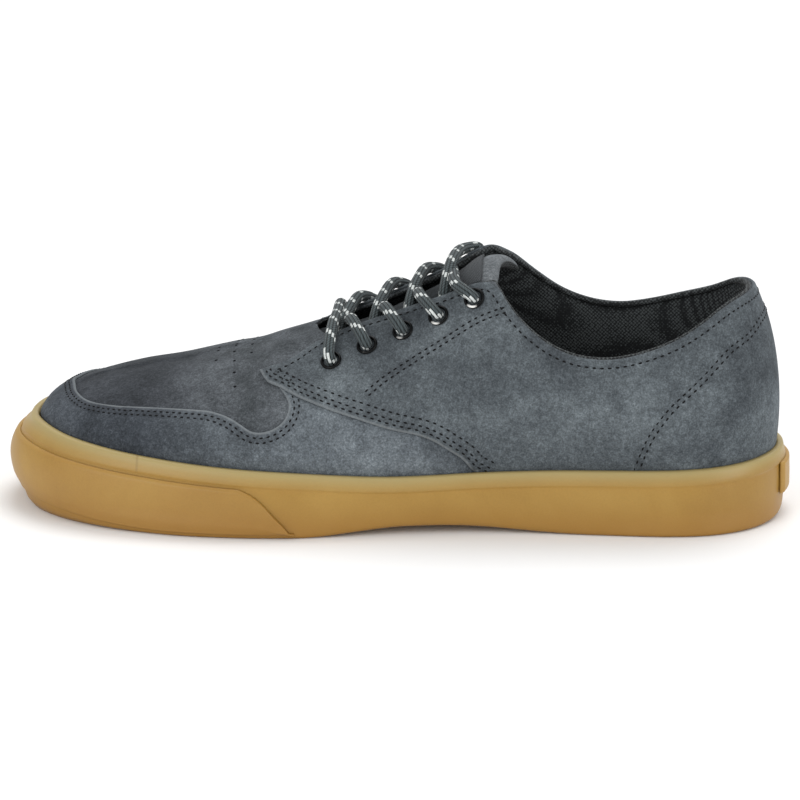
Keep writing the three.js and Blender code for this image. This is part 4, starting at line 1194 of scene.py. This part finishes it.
def softened(line, corners, reach, passes, closed=False):
    """The line with its corners rounded within a reach of each."""
    away = np.min([np.linalg.norm(line - corner, axis=1) for corner in corners], axis=0)
    share = ease(reach, reach * 0.4, away)[:, None]
    for _ in range(passes):
        smooth = (np.roll(line, 1, 0) + np.roll(line, -1, 0)) / 2
        if not closed:
            smooth[0], smooth[-1] = line[0], line[-1]
        line = mix(line, smooth, share * 0.9)
    return line


corner_places = np.linspace(6, 8, 400)
top_corners = []
for side in (1, -1):
    run = flattened(corner_places * side, quarter_edge(corner_places * side))
    top_corners.append(run[np.argmax(run[:, 1])])
quarter_outline = softened(rounded(quarter_outline), top_corners, 11, 14, closed=True)

UNDER = 5.0
edge_outer = hand_drawn(mudguard_edge)
edge_inner = hand_drawn(mudguard_edge, side=-1)
behind_outer = front_outer[front_outer[:, 1] < edge_outer[0, 1]] - (UNDER, 0)
behind_inner = front_inner[front_inner[:, 1] < edge_inner[0, 1]] + (GIRTH + UNDER, 0)
mudguard_line = np.vstack([edge_outer, edge_inner[::-1]])
mudguard_outline = rounded(np.vstack([
    [[behind_outer[0, 0], TUCKED]],
    behind_outer,
    mudguard_line,
    behind_inner[::-1],
    [[behind_inner[0, 0], TUCKED]],
]))
print("the outlines have", len(quarter_outline), "and", len(mudguard_outline), "points")

# %% [markdown]
# ### Seams
# The seams are lines beside the panels' edges, or drawn on the last. They are set out before
# the panels are cut, because a panel sinks a little along them.

# %% Lines of stitches
rows_of_stitches = []


def on_quarters(rows, side):
    """A drawn line in the quarters' pattern, which runs from the inner tip to the outer tip."""
    return hand_drawn(rows, side) - (0 if side > 0 else GIRTH, 0)


def carried_under(line):
    """A line whose low ends run on under the edge of the rubber."""
    for end, near, at in ((0, 3, 0), (-1, -4, len(line))):
        run = line[end] - line[near]
        if line[end, 1] < 3:
            line = np.insert(line, at, line[end] + run / np.linalg.norm(run) * 4, axis=0)
    return line


ROW_STEP = 0.5


def sew(panel, line, distances, pitch=2.9, shorter=0):
    """Rows beside a line, which may stop short of its end."""
    for distance in distances:
        row = even_line(beside(even_line(carried_under(even_line(line, 1.5)), 1.5), distance), ROW_STEP)
        rows_of_stitches.append((panel, row[:len(row) - round(shorter / ROW_STEP)], pitch))


collar_places = np.linspace(-TIP_STATION + 0.25, TIP_STATION - 0.25, 900)
collar_row = flattened(collar_places, quarter_edge(collar_places))
collar_row = softened(even_line(collar_row, 1.0), top_corners, 11, 14)
sew("quarters", collar_row, (-3.1,))
sew("quarters", front_outer, (2.0, 3.8, 6.4), shorter=3)
sew("quarters", front_inner, (-2.0, -3.8, -6.4), shorter=3)
counter_places = np.linspace(-4.7, 4.7, 500)
counter_row = flattened(counter_places, line_rise("counter", counter_places))
counter_row = counter_row[counter_row[:, 1] > 0]
sew("quarters", counter_row, (0, -1.9))
sew("mudguard", mudguard_line[4:-4], (-2.3, -4.2), pitch=2.7)
for side in (1, -1):
    seam = on_quarters(eyestay_seam, side)
    sew("quarters", seam, (-1.0, 1.0), pitch=2.7)
bar_tacks = (
    table(("station", "height"), (10.38, 0.600), (10.33, 0.612), (10.28, 0.626)),
    table(("station", "height"), (10.27, 0.590), (10.22, 0.604), (10.17, 0.620)),
    table(("station", "height"), (10.16, 0.582), (10.11, 0.596), (10.06, 0.612)),
)
for rows in bar_tacks:
    for side in (1, -1):
        sew("quarters", on_quarters(rows, side), (0,), pitch=1.5)
raw_lines = {"quarters": (front_outer, front_inner), "mudguard": (mudguard_line,)}
print(len(rows_of_stitches), "rows of stitches")

# %% Cutting, thickening and lasting a panel
def signed_inside(outline, spots):
    away = distance_to(outline, spots, closed=True)
    return np.where(inside_of(outline, spots), away, -away)


def cut_flat(outline, step):
    bm = bmesh.new()
    bmesh.ops.create_circle(bm, cap_ends=True, segments=len(outline), radius=1)
    for vert, spot in zip(bm.verts, outline):
        vert.co = (spot[0], spot[1], 0)
    for thickness in (0.22, 0.33, 0.75, 1.2):
        middle = max(bm.faces, key=lambda face: len(face.verts))
        bmesh.ops.inset_region(bm, faces=[middle], thickness=thickness)
    low, high = outline.min(0), outline.max(0)
    for axis, plane_no in ((0, (1, 0, 0)), (1, (0, 1, 0))):
        for at in np.arange(low[axis] + step / 2, high[axis], step):
            spot = (at, 0, 0) if axis == 0 else (0, at, 0)
            geom = bm.faces[:] + bm.edges[:] + bm.verts[:]
            bmesh.ops.bisect_plane(bm, geom=geom, plane_co=spot, plane_no=plane_no, dist=1e-5)
    return bm


PANEL_STEP = 2.0
PANEL_EDGE_FALL = 0.38
PANEL_EDGE_WIDE = 0.55
FAR_FROM_STITCHES = 9.0


def lasted_panel(name, outline, top_height, bottom_height, look, nodes):
    bm = cut_flat(outline, PANEL_STEP)
    made = bmesh.ops.extrude_face_region(bm, geom=bm.faces[:])
    for vert in [part for part in made["geom"] if isinstance(part, bmesh.types.BMVert)]:
        vert.co.z = 1
    bm.verts.ensure_lookup_table()
    flat = np.array([vert.co for vert in bm.verts])
    spots = flat[:, :2]
    on_top = flat[:, 2] > 0.5
    edge = distance_to(outline, spots, closed=True)
    sewn = np.full(len(spots), FAR_FROM_STITCHES)
    for panel, row, _ in rows_of_stitches:
        if panel == name:
            sewn = np.minimum(sewn, distance_to(row[::3], spots))
    to_edge = 1 - np.minimum(edge / PANEL_EDGE_WIDE, 1)
    fall = PANEL_EDGE_FALL * (1 - np.sqrt(np.clip(1 - to_edge**2, 0, 1)))
    offset = np.where(on_top, top_height(spots) - fall, bottom_height(spots))
    place, rise = lasted(spots)
    points = pulled(place, rise, offset)
    edge_layer = bm.verts.layers.float.new("edge")
    sewn_layer = bm.verts.layers.float.new("sewn")
    edge = np.minimum.reduce([distance_to(line[::2], spots) for line in raw_lines[name]])
    for k, vert in enumerate(bm.verts):
        vert.co = points[k] * MM
        vert[edge_layer] = edge[k] if on_top[k] else 0.0
        vert[sewn_layer] = sewn[k] if on_top[k] else FAR_FROM_STITCHES
    piece("suede_" + name, bm, look, nodes)


def counter_distance(spots):
    line = np.interp(spots[:, 0], counter_row[:, 0], counter_row[:, 1], left=TUCKED, right=TUCKED)
    return line - spots[:, 1]


def quarter_top(spots):
    return 0.3 * ease(-0.6, 1.2, counter_distance(spots))


def quarter_bottom(spots):
    return np.full(len(spots), -PANEL - 0.05)


def shifted_inside(spots):
    """Distance inside the quarters' outline of spots of the mudguard."""
    outer = signed_inside(quarter_outline, spots)
    inner = signed_inside(quarter_outline, spots - (GIRTH, 0))
    return np.maximum(outer, inner)


def mudguard_top(spots):
    return mix(-0.4, -1.32, ease(-1.8, 0.1, shifted_inside(spots)))


def mudguard_bottom(spots):
    return np.full(len(spots), UPPER_OUTSIDE + 0.02)


quarter_nodes = ["quarter_outer", "quarter_inner", "heel_counter"]
lasted_panel("quarters", quarter_outline, quarter_top, quarter_bottom, suede, quarter_nodes)
lasted_panel("mudguard", mudguard_outline, mudguard_top, mudguard_bottom, toe_suede, ["mudguard"])

# %% [markdown]
# ### Stitches
# A stitch is a short thick thread that dips into the suede at both ends. One small ball per stitch,
# drawn out along the seam, gives that shape. A curve with a bevel would give one long tube.

# %% Stitches
outlines = {"quarters": quarter_outline, "mudguard": mudguard_outline}
STITCH_GAP = 0.23
THREAD_WIDE = 0.36
THREAD_HIGH = 0.24
THREAD_LIFT = 0.02
EDGE_CLEAR = 0.7


def stitches(panel, top_height):
    sewn = bmesh.new()
    count = 0
    for name, row, pitch in rows_of_stitches:
        if name != panel:
            continue
        bm = bmesh.new()
        knots = even_line(row, pitch)
        place, rise = lasted(knots)
        on_panel = signed_inside(outlines[panel], knots) > EDGE_CLEAR
        keep = (knots[:, 1] > TUCKED + 1) & (rise < 0.995) & on_panel
        heights = top_height(knots)
        here = pulled(place, rise, heights + THREAD_LIFT)
        above = pulled(place, rise, heights + 1)
        for k in range(len(knots) - 1):
            if not (keep[k] and keep[k + 1]):
                continue
            start = mix(here[k], here[k + 1], STITCH_GAP)
            end = mix(here[k], here[k + 1], 1 - STITCH_GAP)
            run = Vector(end - start)
            up = Vector(above[k] - here[k]).normalized()
            ahead = run.normalized()
            side = up.cross(ahead).normalized()
            up = ahead.cross(side)
            turn = Matrix((ahead, side, up)).transposed().to_4x4()
            size = Matrix.Diagonal((run.length / 2 * MM, THREAD_WIDE * MM, THREAD_HIGH * MM, 1))
            spot = Matrix.Translation(Vector((start + end) / 2) * MM)
            bmesh.ops.create_uvsphere(bm, u_segments=8, v_segments=6, radius=1, matrix=spot @ turn @ size)
            count += 1
        row_mesh = bpy.data.meshes.new("stitch_row")
        bm.to_mesh(row_mesh)
        bm.free()
        sewn.from_mesh(row_mesh)
        bpy.data.meshes.remove(row_mesh)
    print(count, "stitches on the", panel)
    return sewn


piece("quarter_stitches", stitches("quarters", quarter_top), thread)
piece("mudguard_stitches", stitches("mudguard", mudguard_top), thread)

# %% [markdown]
# ## Pinholes
# Nine pairs of small holes let air into the vamp. Real ones are punched through. A flat dark lens on
# the suede is painted shade in place of the shaded hole; it looks the same at this size and leaves
# the wall closed.

# %% Pinholes in the vamp
PINHOLE = 0.62
PINHOLE_FLAT = 0.1
pinholes = table(
    ("place", "rise"),
    (11.30, 0.985), (10.97, 0.950), (11.65, 0.967), (11.27, 0.897), (10.93, 0.847),
    (11.57, 0.833), (11.20, 0.790), (11.14, 0.683), (11.07, 0.570),
)
bm = bmesh.new()
for side in (1, -1):
    for place, rise in zip(pinholes["place"] * side, pinholes["rise"]):
        spot = pulled(place, rise, UPPER_OUTSIDE)
        out = pulled(place, rise, UPPER_OUTSIDE + 1) - spot
        size = Matrix.Diagonal((PINHOLE * MM, PINHOLE * MM, PINHOLE_FLAT * MM, 1))
        where = standing(spot, unit(out)) @ size
        bmesh.ops.create_uvsphere(bm, u_segments=14, v_segments=8, radius=1, matrix=where)
piece("vamp_pinholes", bm, painted_hole_shade)

# %% [markdown]
# ## Tongue and label
# The tongue is a padded strip under the laces. Its section is an arch that stands under the edges of
# the throat. The label on it stays plain.

# %% The tongue's surface
tongue_crown = table(
    ("along", "drop"),
    (0.340, 0.190), (0.385, 0.126), (0.417, 0.098), (0.469, 0.075), (0.520, 0.068), (0.600, 0.062),
    (0.640, 0.050), (0.690, 0.048),
)
TONGUE_TOP = 0.372
PALE_END = 0.402
LACED_DOWN = 2.0
TONGUE_MIDDLE = 4.6
TONGUE_RIM = 1.8
SLIPPED_FAR = 0.022
SLIPPED_NEAR = 0.012
TONGUE_FRONT = 0.64
UNDER_EYESTAY = -5.1
TONGUE_EDGE_RISE = 0.13
TONGUE_PROBE = 0.004


def tongue_curves(along):
    x = x_of(along)
    crown = ridge_height(x) - read(tongue_crown, "drop", along) * INSTEP_TOP
    curves = {}
    for sign in (1, -1):
        tries = np.linspace(6, 12, 601)
        at = np.interp(x, section(tries)[0][:, 0], tries)
        place = at if sign > 0 else RING - at
        edge_rise = np.minimum(line_rise("eyestay", place), 0.78) - TONGUE_EDGE_RISE
        edge = surface(place, edge_rise, UNDER_EYESTAY)
        run = unit(surface(place, edge_rise + 0.05, UNDER_EYESTAY) - edge)
        middle = section(place)[0][..., 1]
        wide = np.abs(edge[..., 1] - middle)
        height = np.maximum(crown - edge[..., 2], 1)
        above = edge + run * (height * 0.45)[..., None]
        y = np.stack([middle, middle + sign * wide * 0.5, above[..., 1], edge[..., 1]], -1)
        z = np.stack([crown, crown, above[..., 2], edge[..., 2]], -1)
        curves[sign] = (y, z)
    return x, curves


def on_tongue(along, across, offset):
    along, across, offset = together(along, across, offset)
    x, curves = tongue_curves(along)
    t = np.abs(across)
    weights = np.stack(arch_weights(t), -1)
    u = np.clip(t, 0.001, 0.999)
    first, both, last = 3 * (1 - u) ** 2, 6 * u * (1 - u), 3 * u**2
    slopes = np.stack([-first, first - both, both - last, last], -1)
    positive = across >= 0
    y_of = np.where(positive[..., None], curves[1][0], curves[-1][0])
    z_of = np.where(positive[..., None], curves[1][1], curves[-1][1])
    y, z = (weights * y_of).sum(-1), (weights * z_of).sum(-1)
    run_y, run_z = (slopes * y_of).sum(-1), (slopes * z_of).sum(-1)
    length = np.hypot(run_y, run_z)
    sign = np.where(positive, 1, -1)
    behind = tongue_curves(along - TONGUE_PROBE)[1][1][1][..., 0]
    slope = (behind - curves[1][1][..., 0]) / (TONGUE_PROBE * LAST_LENGTH)
    normal = np.stack([slope, -run_z / length * sign, run_y / length * sign], -1)
    return np.stack([x, y, z], -1) + unit(normal) * offset[..., None]


def tongue_thickness(across):
    return mix(TONGUE_MIDDLE, TONGUE_RIM, np.abs(across) ** 3)


def tongue_padding(along, across):
    """The foam is full at its top and is drawn down under the laces."""
    full = 0.5 * np.cos(across * math.pi / 2) * ease(0.40, 0.385, along)
    laced = ease(0.395, 0.43, along) * ease(0.62, 0.54, along) * ease(1, 0.5, np.abs(across))
    return full - LACED_DOWN * laced


print("the tongue's middle is at", on_tongue(0.5, 0.0, 0.0).round(1), "mm")

# %% The padded tongue
alongs = np.concatenate([np.linspace(TONGUE_TOP, 0.385, 7), np.linspace(0.388, TONGUE_FRONT, 60)])
acrosses = np.linspace(-1, 1, 49)
along_grid, across_grid = np.meshgrid(alongs, acrosses, indexing="ij")
thick = tongue_thickness(across_grid)
top_round = np.clip((along_grid - TONGUE_TOP) / 0.010, 0, 1)
slipped = SLIPPED_FAR * ease(0.25, -1, across_grid) - SLIPPED_NEAR * ease(0.3, 1, across_grid)
along_grid = along_grid - slipped * ease(0.43, TONGUE_TOP, along_grid)
top_round = np.sqrt(np.clip(1 - (1 - top_round) ** 2, 0, 1))
side_round = np.sqrt(np.clip(1 - np.clip((np.abs(across_grid) - 0.95) / 0.05, 0, 1) ** 2, 0, 1))
full = top_round * side_round
padding = tongue_padding(along_grid, across_grid)
outer = on_tongue(along_grid, across_grid, padding - thick * 0.5 * (1 - full))
inner = on_tongue(along_grid, across_grid, -thick * 0.5 * (1 + full))
tongue = piece("padded_tongue", sleeve(outer, inner), tongue_suede, ["tongue"])
tongue.data.materials.append(pale_suede)
tongue.data.materials.append(mesh_cloth)
pale_to = x_of(PALE_END) * MM
for face in tongue.data.polygons:
    if face.normal.z < -0.2 or (face.normal.x < -0.5 and face.normal.z < 0.15):
        face.material_index = 2
    elif face.center.x < pale_to:
        face.material_index = 1

# %% [markdown]
# ### Label
# A woven label is sewn to the tongue. It stays plain here. It lies on the tongue's own surface, so
# it bends with it.

# %% The plain label
LABEL = 0.8
label_alongs = np.linspace(0.395, 0.445, 13)
label_acrosses = np.linspace(-0.5, 0.5, 21)
along_grid, across_grid = np.meshgrid(label_alongs, label_acrosses, indexing="ij")
lowered = tongue_padding(along_grid, across_grid)
outer = on_tongue(along_grid, across_grid, lowered + GAP + LABEL)
inner = on_tongue(along_grid, across_grid, lowered + GAP)
piece("plain_label", sleeve(outer, inner), label_cloth, ["tongue_label"])

# %% [markdown]
# ## Eyelets and laces
# Each eyelet is a profile spun round its axis. One lace runs through all ten: a bar across the first
# row, then two ends that cross over the tongue and go down into each eyelet from outside.

# %% Eyelets
EYELET_PITCH = 13.5
FIRST_EYELET = 0.5915
SETBACK_FRONT = 15.2
SETBACK_TOP = 6.2


def throat_edge(x, side):
    tries = np.linspace(5, 12, 1401)
    at = tries if side > 0 else RING - tries
    place = np.interp(x, on_last(at, 0.6)[:, 0], at)
    rise = line_rise("eyestay", place)
    return place, rise, on_last(place, rise)


def find_eyelet(side, row):
    x = x_of(FIRST_EYELET) - row * EYELET_PITCH
    setback = mix(SETBACK_FRONT, SETBACK_TOP, row / 4)
    place, rise, edge = throat_edge(x, side)
    downs = np.arange(rise, 0, -0.002)
    away = np.linalg.norm(on_last(place, downs) - edge, axis=-1)
    rise = downs[np.argmax(away >= setback)]
    point = surface(place, rise, 0)
    return point, unit(surface(place, rise, 1) - point)


eyelets = {(side, row): find_eyelet(side, row) for side in (1, -1) for row in range(5)}
bore, outside, deep = EYELET_HOLE / 2, EYELET_FLANGE / 2, UPPER_INSIDE - GAP
profile = [
    (bore, deep), (bore, 0.2), (bore + 0.04, 0.62), (bore + 0.2, 0.95), (bore + 0.5, 1.05),
    (outside - 0.3, 0.9), (outside - 0.06, 0.62), (outside, GAP), (bore + 0.42, GAP), (bore + 0.4, deep),
    (bore, deep),
]
for (side, row), (point, out) in eyelets.items():
    bm = bmesh.new()
    bmesh.ops.create_circle(bm, segments=len(profile) - 1, radius=1)
    for vert, (radius, height) in zip(bm.verts, profile):
        vert.co = (radius * MM, 0, height * MM)
    geom = bm.verts[:] + bm.edges[:]
    bmesh.ops.spin(bm, geom=geom, cent=(0, 0, 0), axis=(0, 0, 1), angle=math.tau, steps=36, use_merge=True)
    bmesh.ops.remove_doubles(bm, verts=bm.verts, dist=0.01 * MM)
    bmesh.ops.transform(bm, matrix=standing(point, out), verts=bm.verts)
    # Painted highlight: a share for the near-white on the top of the rim, on the ring's lower side.
    rim_highlight_share = bm.verts.layers.float.new("rim_highlight_share")
    for vert in bm.verts:
        away = vert.co / MM - Vector(point)
        height = away.dot(Vector(out))
        radius = math.sqrt(max(away.length_squared - height**2, 0))
        low_side = -(away - Vector(out) * height).normalized().z
        if height > 0.5 and radius < outside - 0.2 and radius > bore + 0.1:
            vert[rim_highlight_share] = float(ease(0.6, 0.9, low_side))
    name = f"eyelet_{'outer' if side > 0 else 'inner'}_{row + 1}"
    piece(name + "_ring", bm, enamel, [name])

# %% [markdown]
# ### Lace
# The lace is round and springy, so it bows between its holes. Its path is a smooth line through
# chosen points at the eyelets, the panel's edges and the middle of the tongue. A curve with a bevel
# would be shorter to write, but laid rings keep the braid's flat map straight.

# %% The lace's path
LACE_STEP = 0.92 * LACE
ARCH = LACE / 2 + GAP + LACE_STEP / 2
OVER_EDGE = LACE / 2 + 2 * GAP
FOOT_BACK = 0.12
MIDDLE_BACK = 0.28
EDGE_BACK = 0.58
ABOVE_HOLE = 4.0
IN_HOLE = 1.2
UNDER_HOLE = -2.5
UNDER_PANEL = -5.2
LACE_END = -6.5
PATH_STEP = 0.55
middle_y = float(section(9.0)[0][1])


def over(eye, height):
    return eye[0] + eye[1] * height


def over_tongue(x, extra):
    on_label = 0.38 < along_of(x) < 0.46
    crown = on_tongue(along_of(x), 0.0, 2 * GAP + LABEL if on_label else 0.0)
    return np.array([x, middle_y, crown[2] + ARCH + extra])


def over_edge(eye, side, x):
    return throat_edge(x, side)[2] + eye[1] * OVER_EDGE


def crossing(side, row):
    """From under one eyelet, over the tongue, and down into the next eyelet across."""
    start, end = eyelets[side, row], eyelets[-side, row + 1]
    x = start[0][0] - EYELET_PITCH * FOOT_BACK
    edge = throat_edge(x, side)[2]
    foot_height = on_tongue(along_of(x), side * 0.5, 0.0)[2] + LACE - LACED_DOWN
    foot = np.array([x, edge[1] - side * LACE, foot_height])
    middle = over_tongue(start[0][0] - EYELET_PITCH * MIDDLE_BACK, LACE_STEP / 2 * side - LACED_DOWN - 0.5)
    rising = mix(foot, middle, 0.5)
    rising[2] = mix(foot[2], middle[2], 0.72)
    under = mix(over(start, -5.4), foot, 0.45)
    under[2] = min(under[2], over(start, -4.6)[2])
    last_edge = over_edge(end, -side, start[0][0] - EYELET_PITCH * EDGE_BACK)
    down = [over(end, height) for height in (ABOVE_HOLE, IN_HOLE, UNDER_HOLE)]
    return [over(start, UNDER_PANEL), under, foot, rising, middle, last_edge, *down]


def strand(side):
    """From the first eyelet of one side up to a top eyelet."""
    points = [over(eyelets[side, 0], IN_HOLE), over(eyelets[side, 0], UNDER_HOLE)]
    for row in range(4):
        points += crossing(side, row)
        side = -side
    points.append(over(eyelets[side, 4], LACE_END))
    return points


near, far = eyelets[1, 0], eyelets[-1, 0]
bar_x = (near[0][0] + far[0][0]) / 2
bar_middle = over_tongue(bar_x, LACE_STEP - LACED_DOWN - 1)
bar_edges = [over_edge(near, 1, bar_x), bar_middle, over_edge(far, -1, bar_x)]
bar = [over(near, ABOVE_HOLE), *bar_edges, over(far, ABOVE_HOLE)]
knots = np.array(strand(1)[::-1] + bar + strand(-1))
print(len(knots), "points guide the lace")

# %% A smooth path through the points
def smooth_path(knots, step):
    """A centripetal line through the knots, at an even step."""
    knots = np.vstack([2 * knots[0] - knots[1], knots, 2 * knots[-1] - knots[-2]])
    path = []
    for a, b, c, d in zip(knots, knots[1:], knots[2:], knots[3:]):
        t = np.cumsum([0] + [max(np.linalg.norm(q - p), 1e-3) ** 0.5 for p, q in ((a, b), (b, c), (c, d))])
        for at in np.linspace(t[1], t[2], 24, endpoint=False):
            ab = mix(a, b, (at - t[0]) / (t[1] - t[0]))
            bc = mix(b, c, (at - t[1]) / (t[2] - t[1]))
            cd = mix(c, d, (at - t[2]) / (t[3] - t[2]))
            abc = mix(ab, bc, (at - t[0]) / (t[2] - t[0]))
            bcd = mix(bc, cd, (at - t[1]) / (t[3] - t[1]))
            path.append(mix(abc, bcd, (at - t[1]) / (t[2] - t[1])))
    return even_line(np.array(path + [knots[-2]]), step)


path = smooth_path(knots, PATH_STEP)
print("the lace is", round(len(path) * PATH_STEP), "mm long between its top eyelets")

# %% The lace's cord
LACE_FACES = 20
LACE_LOOK = 4.5
ahead = unit(np.gradient(path, axis=0))
side = np.cross(ahead[0], (0, 0, 1.0))
sides = []
for direction in ahead:
    side = unit(side - direction * (side @ direction))
    sides.append(side)
sides = np.array(sides)
ups = np.cross(sides, ahead)
angles = np.linspace(0, math.tau, LACE_FACES + 1)
ring = sides[:, None] * np.cos(angles)[None, :, None] + ups[:, None] * np.sin(angles)[None, :, None]
cord_points = (path[:, None] + ring * (LACE_LOOK / 2)).transpose(1, 0, 2)
flat_length = (len(path) - 1) * PATH_STEP * MM
bm = with_ends(woven(cord_points, uv_size=(1, flat_length), weld=0.01))
piece("lace_cord", bm, lace_cord, ["lace_bar"] + [f"lace_cross_{k}" for k in (1, 2, 3, 4)])

# %% [markdown]
# ## Floor
# The shoe stands on a plain pale floor, as in a product photograph. It belongs to the stage and not
# to the shoe, so one plane with one plain look is enough.

# %% Floor
bm = bmesh.new()
bmesh.ops.create_grid(bm, x_segments=2, y_segments=2, size=4)
mesh = bpy.data.meshes.new("studio_floor")
bm.to_mesh(mesh)
bm.free()
floor_look, _, floor_shader = new_look("floor", Roughness=0.7, Specular_IOR_Level=0.1)
floor_shader.inputs["Base Color"].default_value = (0.9, 0.9, 0.9, 1)
mesh.materials.append(floor_look)
floor = bpy.data.objects.new("studio_floor", mesh)
bpy.context.scene.collection.objects.link(floor)
print("laid the floor")

# %% [markdown]
# ## Camera
# The photograph looks slightly down on the shoe's outer side. The direction was found by laying the
# construction model's outline over it. A long lens from 1.5 m keeps the lines of the sole calm.

# %% Camera
camera_data = bpy.data.cameras.new("studio_camera")
camera = bpy.data.objects.new("studio_camera", camera_data)
bpy.context.scene.collection.objects.link(camera)
CAMERA_AWAY = 1.5
PICTURE = 800
back = Vector((-0.0671, 0.9589, 0.2756)).normalized()
target = Vector((-0.0015, 0, 0.0434))
camera.location = target + back * CAMERA_AWAY
camera.rotation_euler = back.to_track_quat("Z", "Y").to_euler()
camera_data.lens = 174.8
camera_data.sensor_width = 36
camera_data.shift_x = -1.5 / PICTURE
camera_data.shift_y = -8 / PICTURE
camera_data.clip_start = 0.1
camera_data.clip_end = 20
bpy.context.scene.camera = camera
print("the camera stands", round(camera.location.length, 2), "m away")

# %% [markdown]
# ## Light
# Two large lamps and an even white world give the soft shadow of a studio. A weak sun with a wide
# angle lights the top from the far side. The Standard view shows the colours as they are set.

# %% Light
def soft_light(name, spot, size, power):
    data = bpy.data.lights.new(name, "AREA")
    data.shape = "RECTANGLE"
    data.size, data.size_y = size
    data.energy = power
    made = bpy.data.objects.new(name, data)
    made.location = spot
    made.rotation_euler = (Vector(spot) - Vector((0, 0, 0.04))).to_track_quat("Z", "Y").to_euler()
    bpy.context.scene.collection.objects.link(made)


soft_light("front_light", (0.9, 1.3, 0.8), (1.0, 1.0), 10)
soft_light("heel_light", (-1.3, 0.8, 0.6), (0.8, 0.9), 7)
sky = bpy.data.lights.new("sky_light", "SUN")
sky.energy = 1.5
sky.angle = math.radians(40)
sky_light = bpy.data.objects.new("sky_light", sky)
sky_light.rotation_euler = Vector((-0.15, -0.5, 1)).to_track_quat("Z", "Y").to_euler()
bpy.context.scene.collection.objects.link(sky_light)
world = bpy.data.worlds.new("studio_world")
world.use_nodes = True
world.node_tree.nodes["Background"].inputs["Color"].default_value = (1, 1, 1, 1)
world.node_tree.nodes["Background"].inputs["Strength"].default_value = 0.68
bpy.context.scene.world = world
bpy.context.scene.view_settings.view_transform = "Standard"
print("set two soft lamps, the sky light and the world")
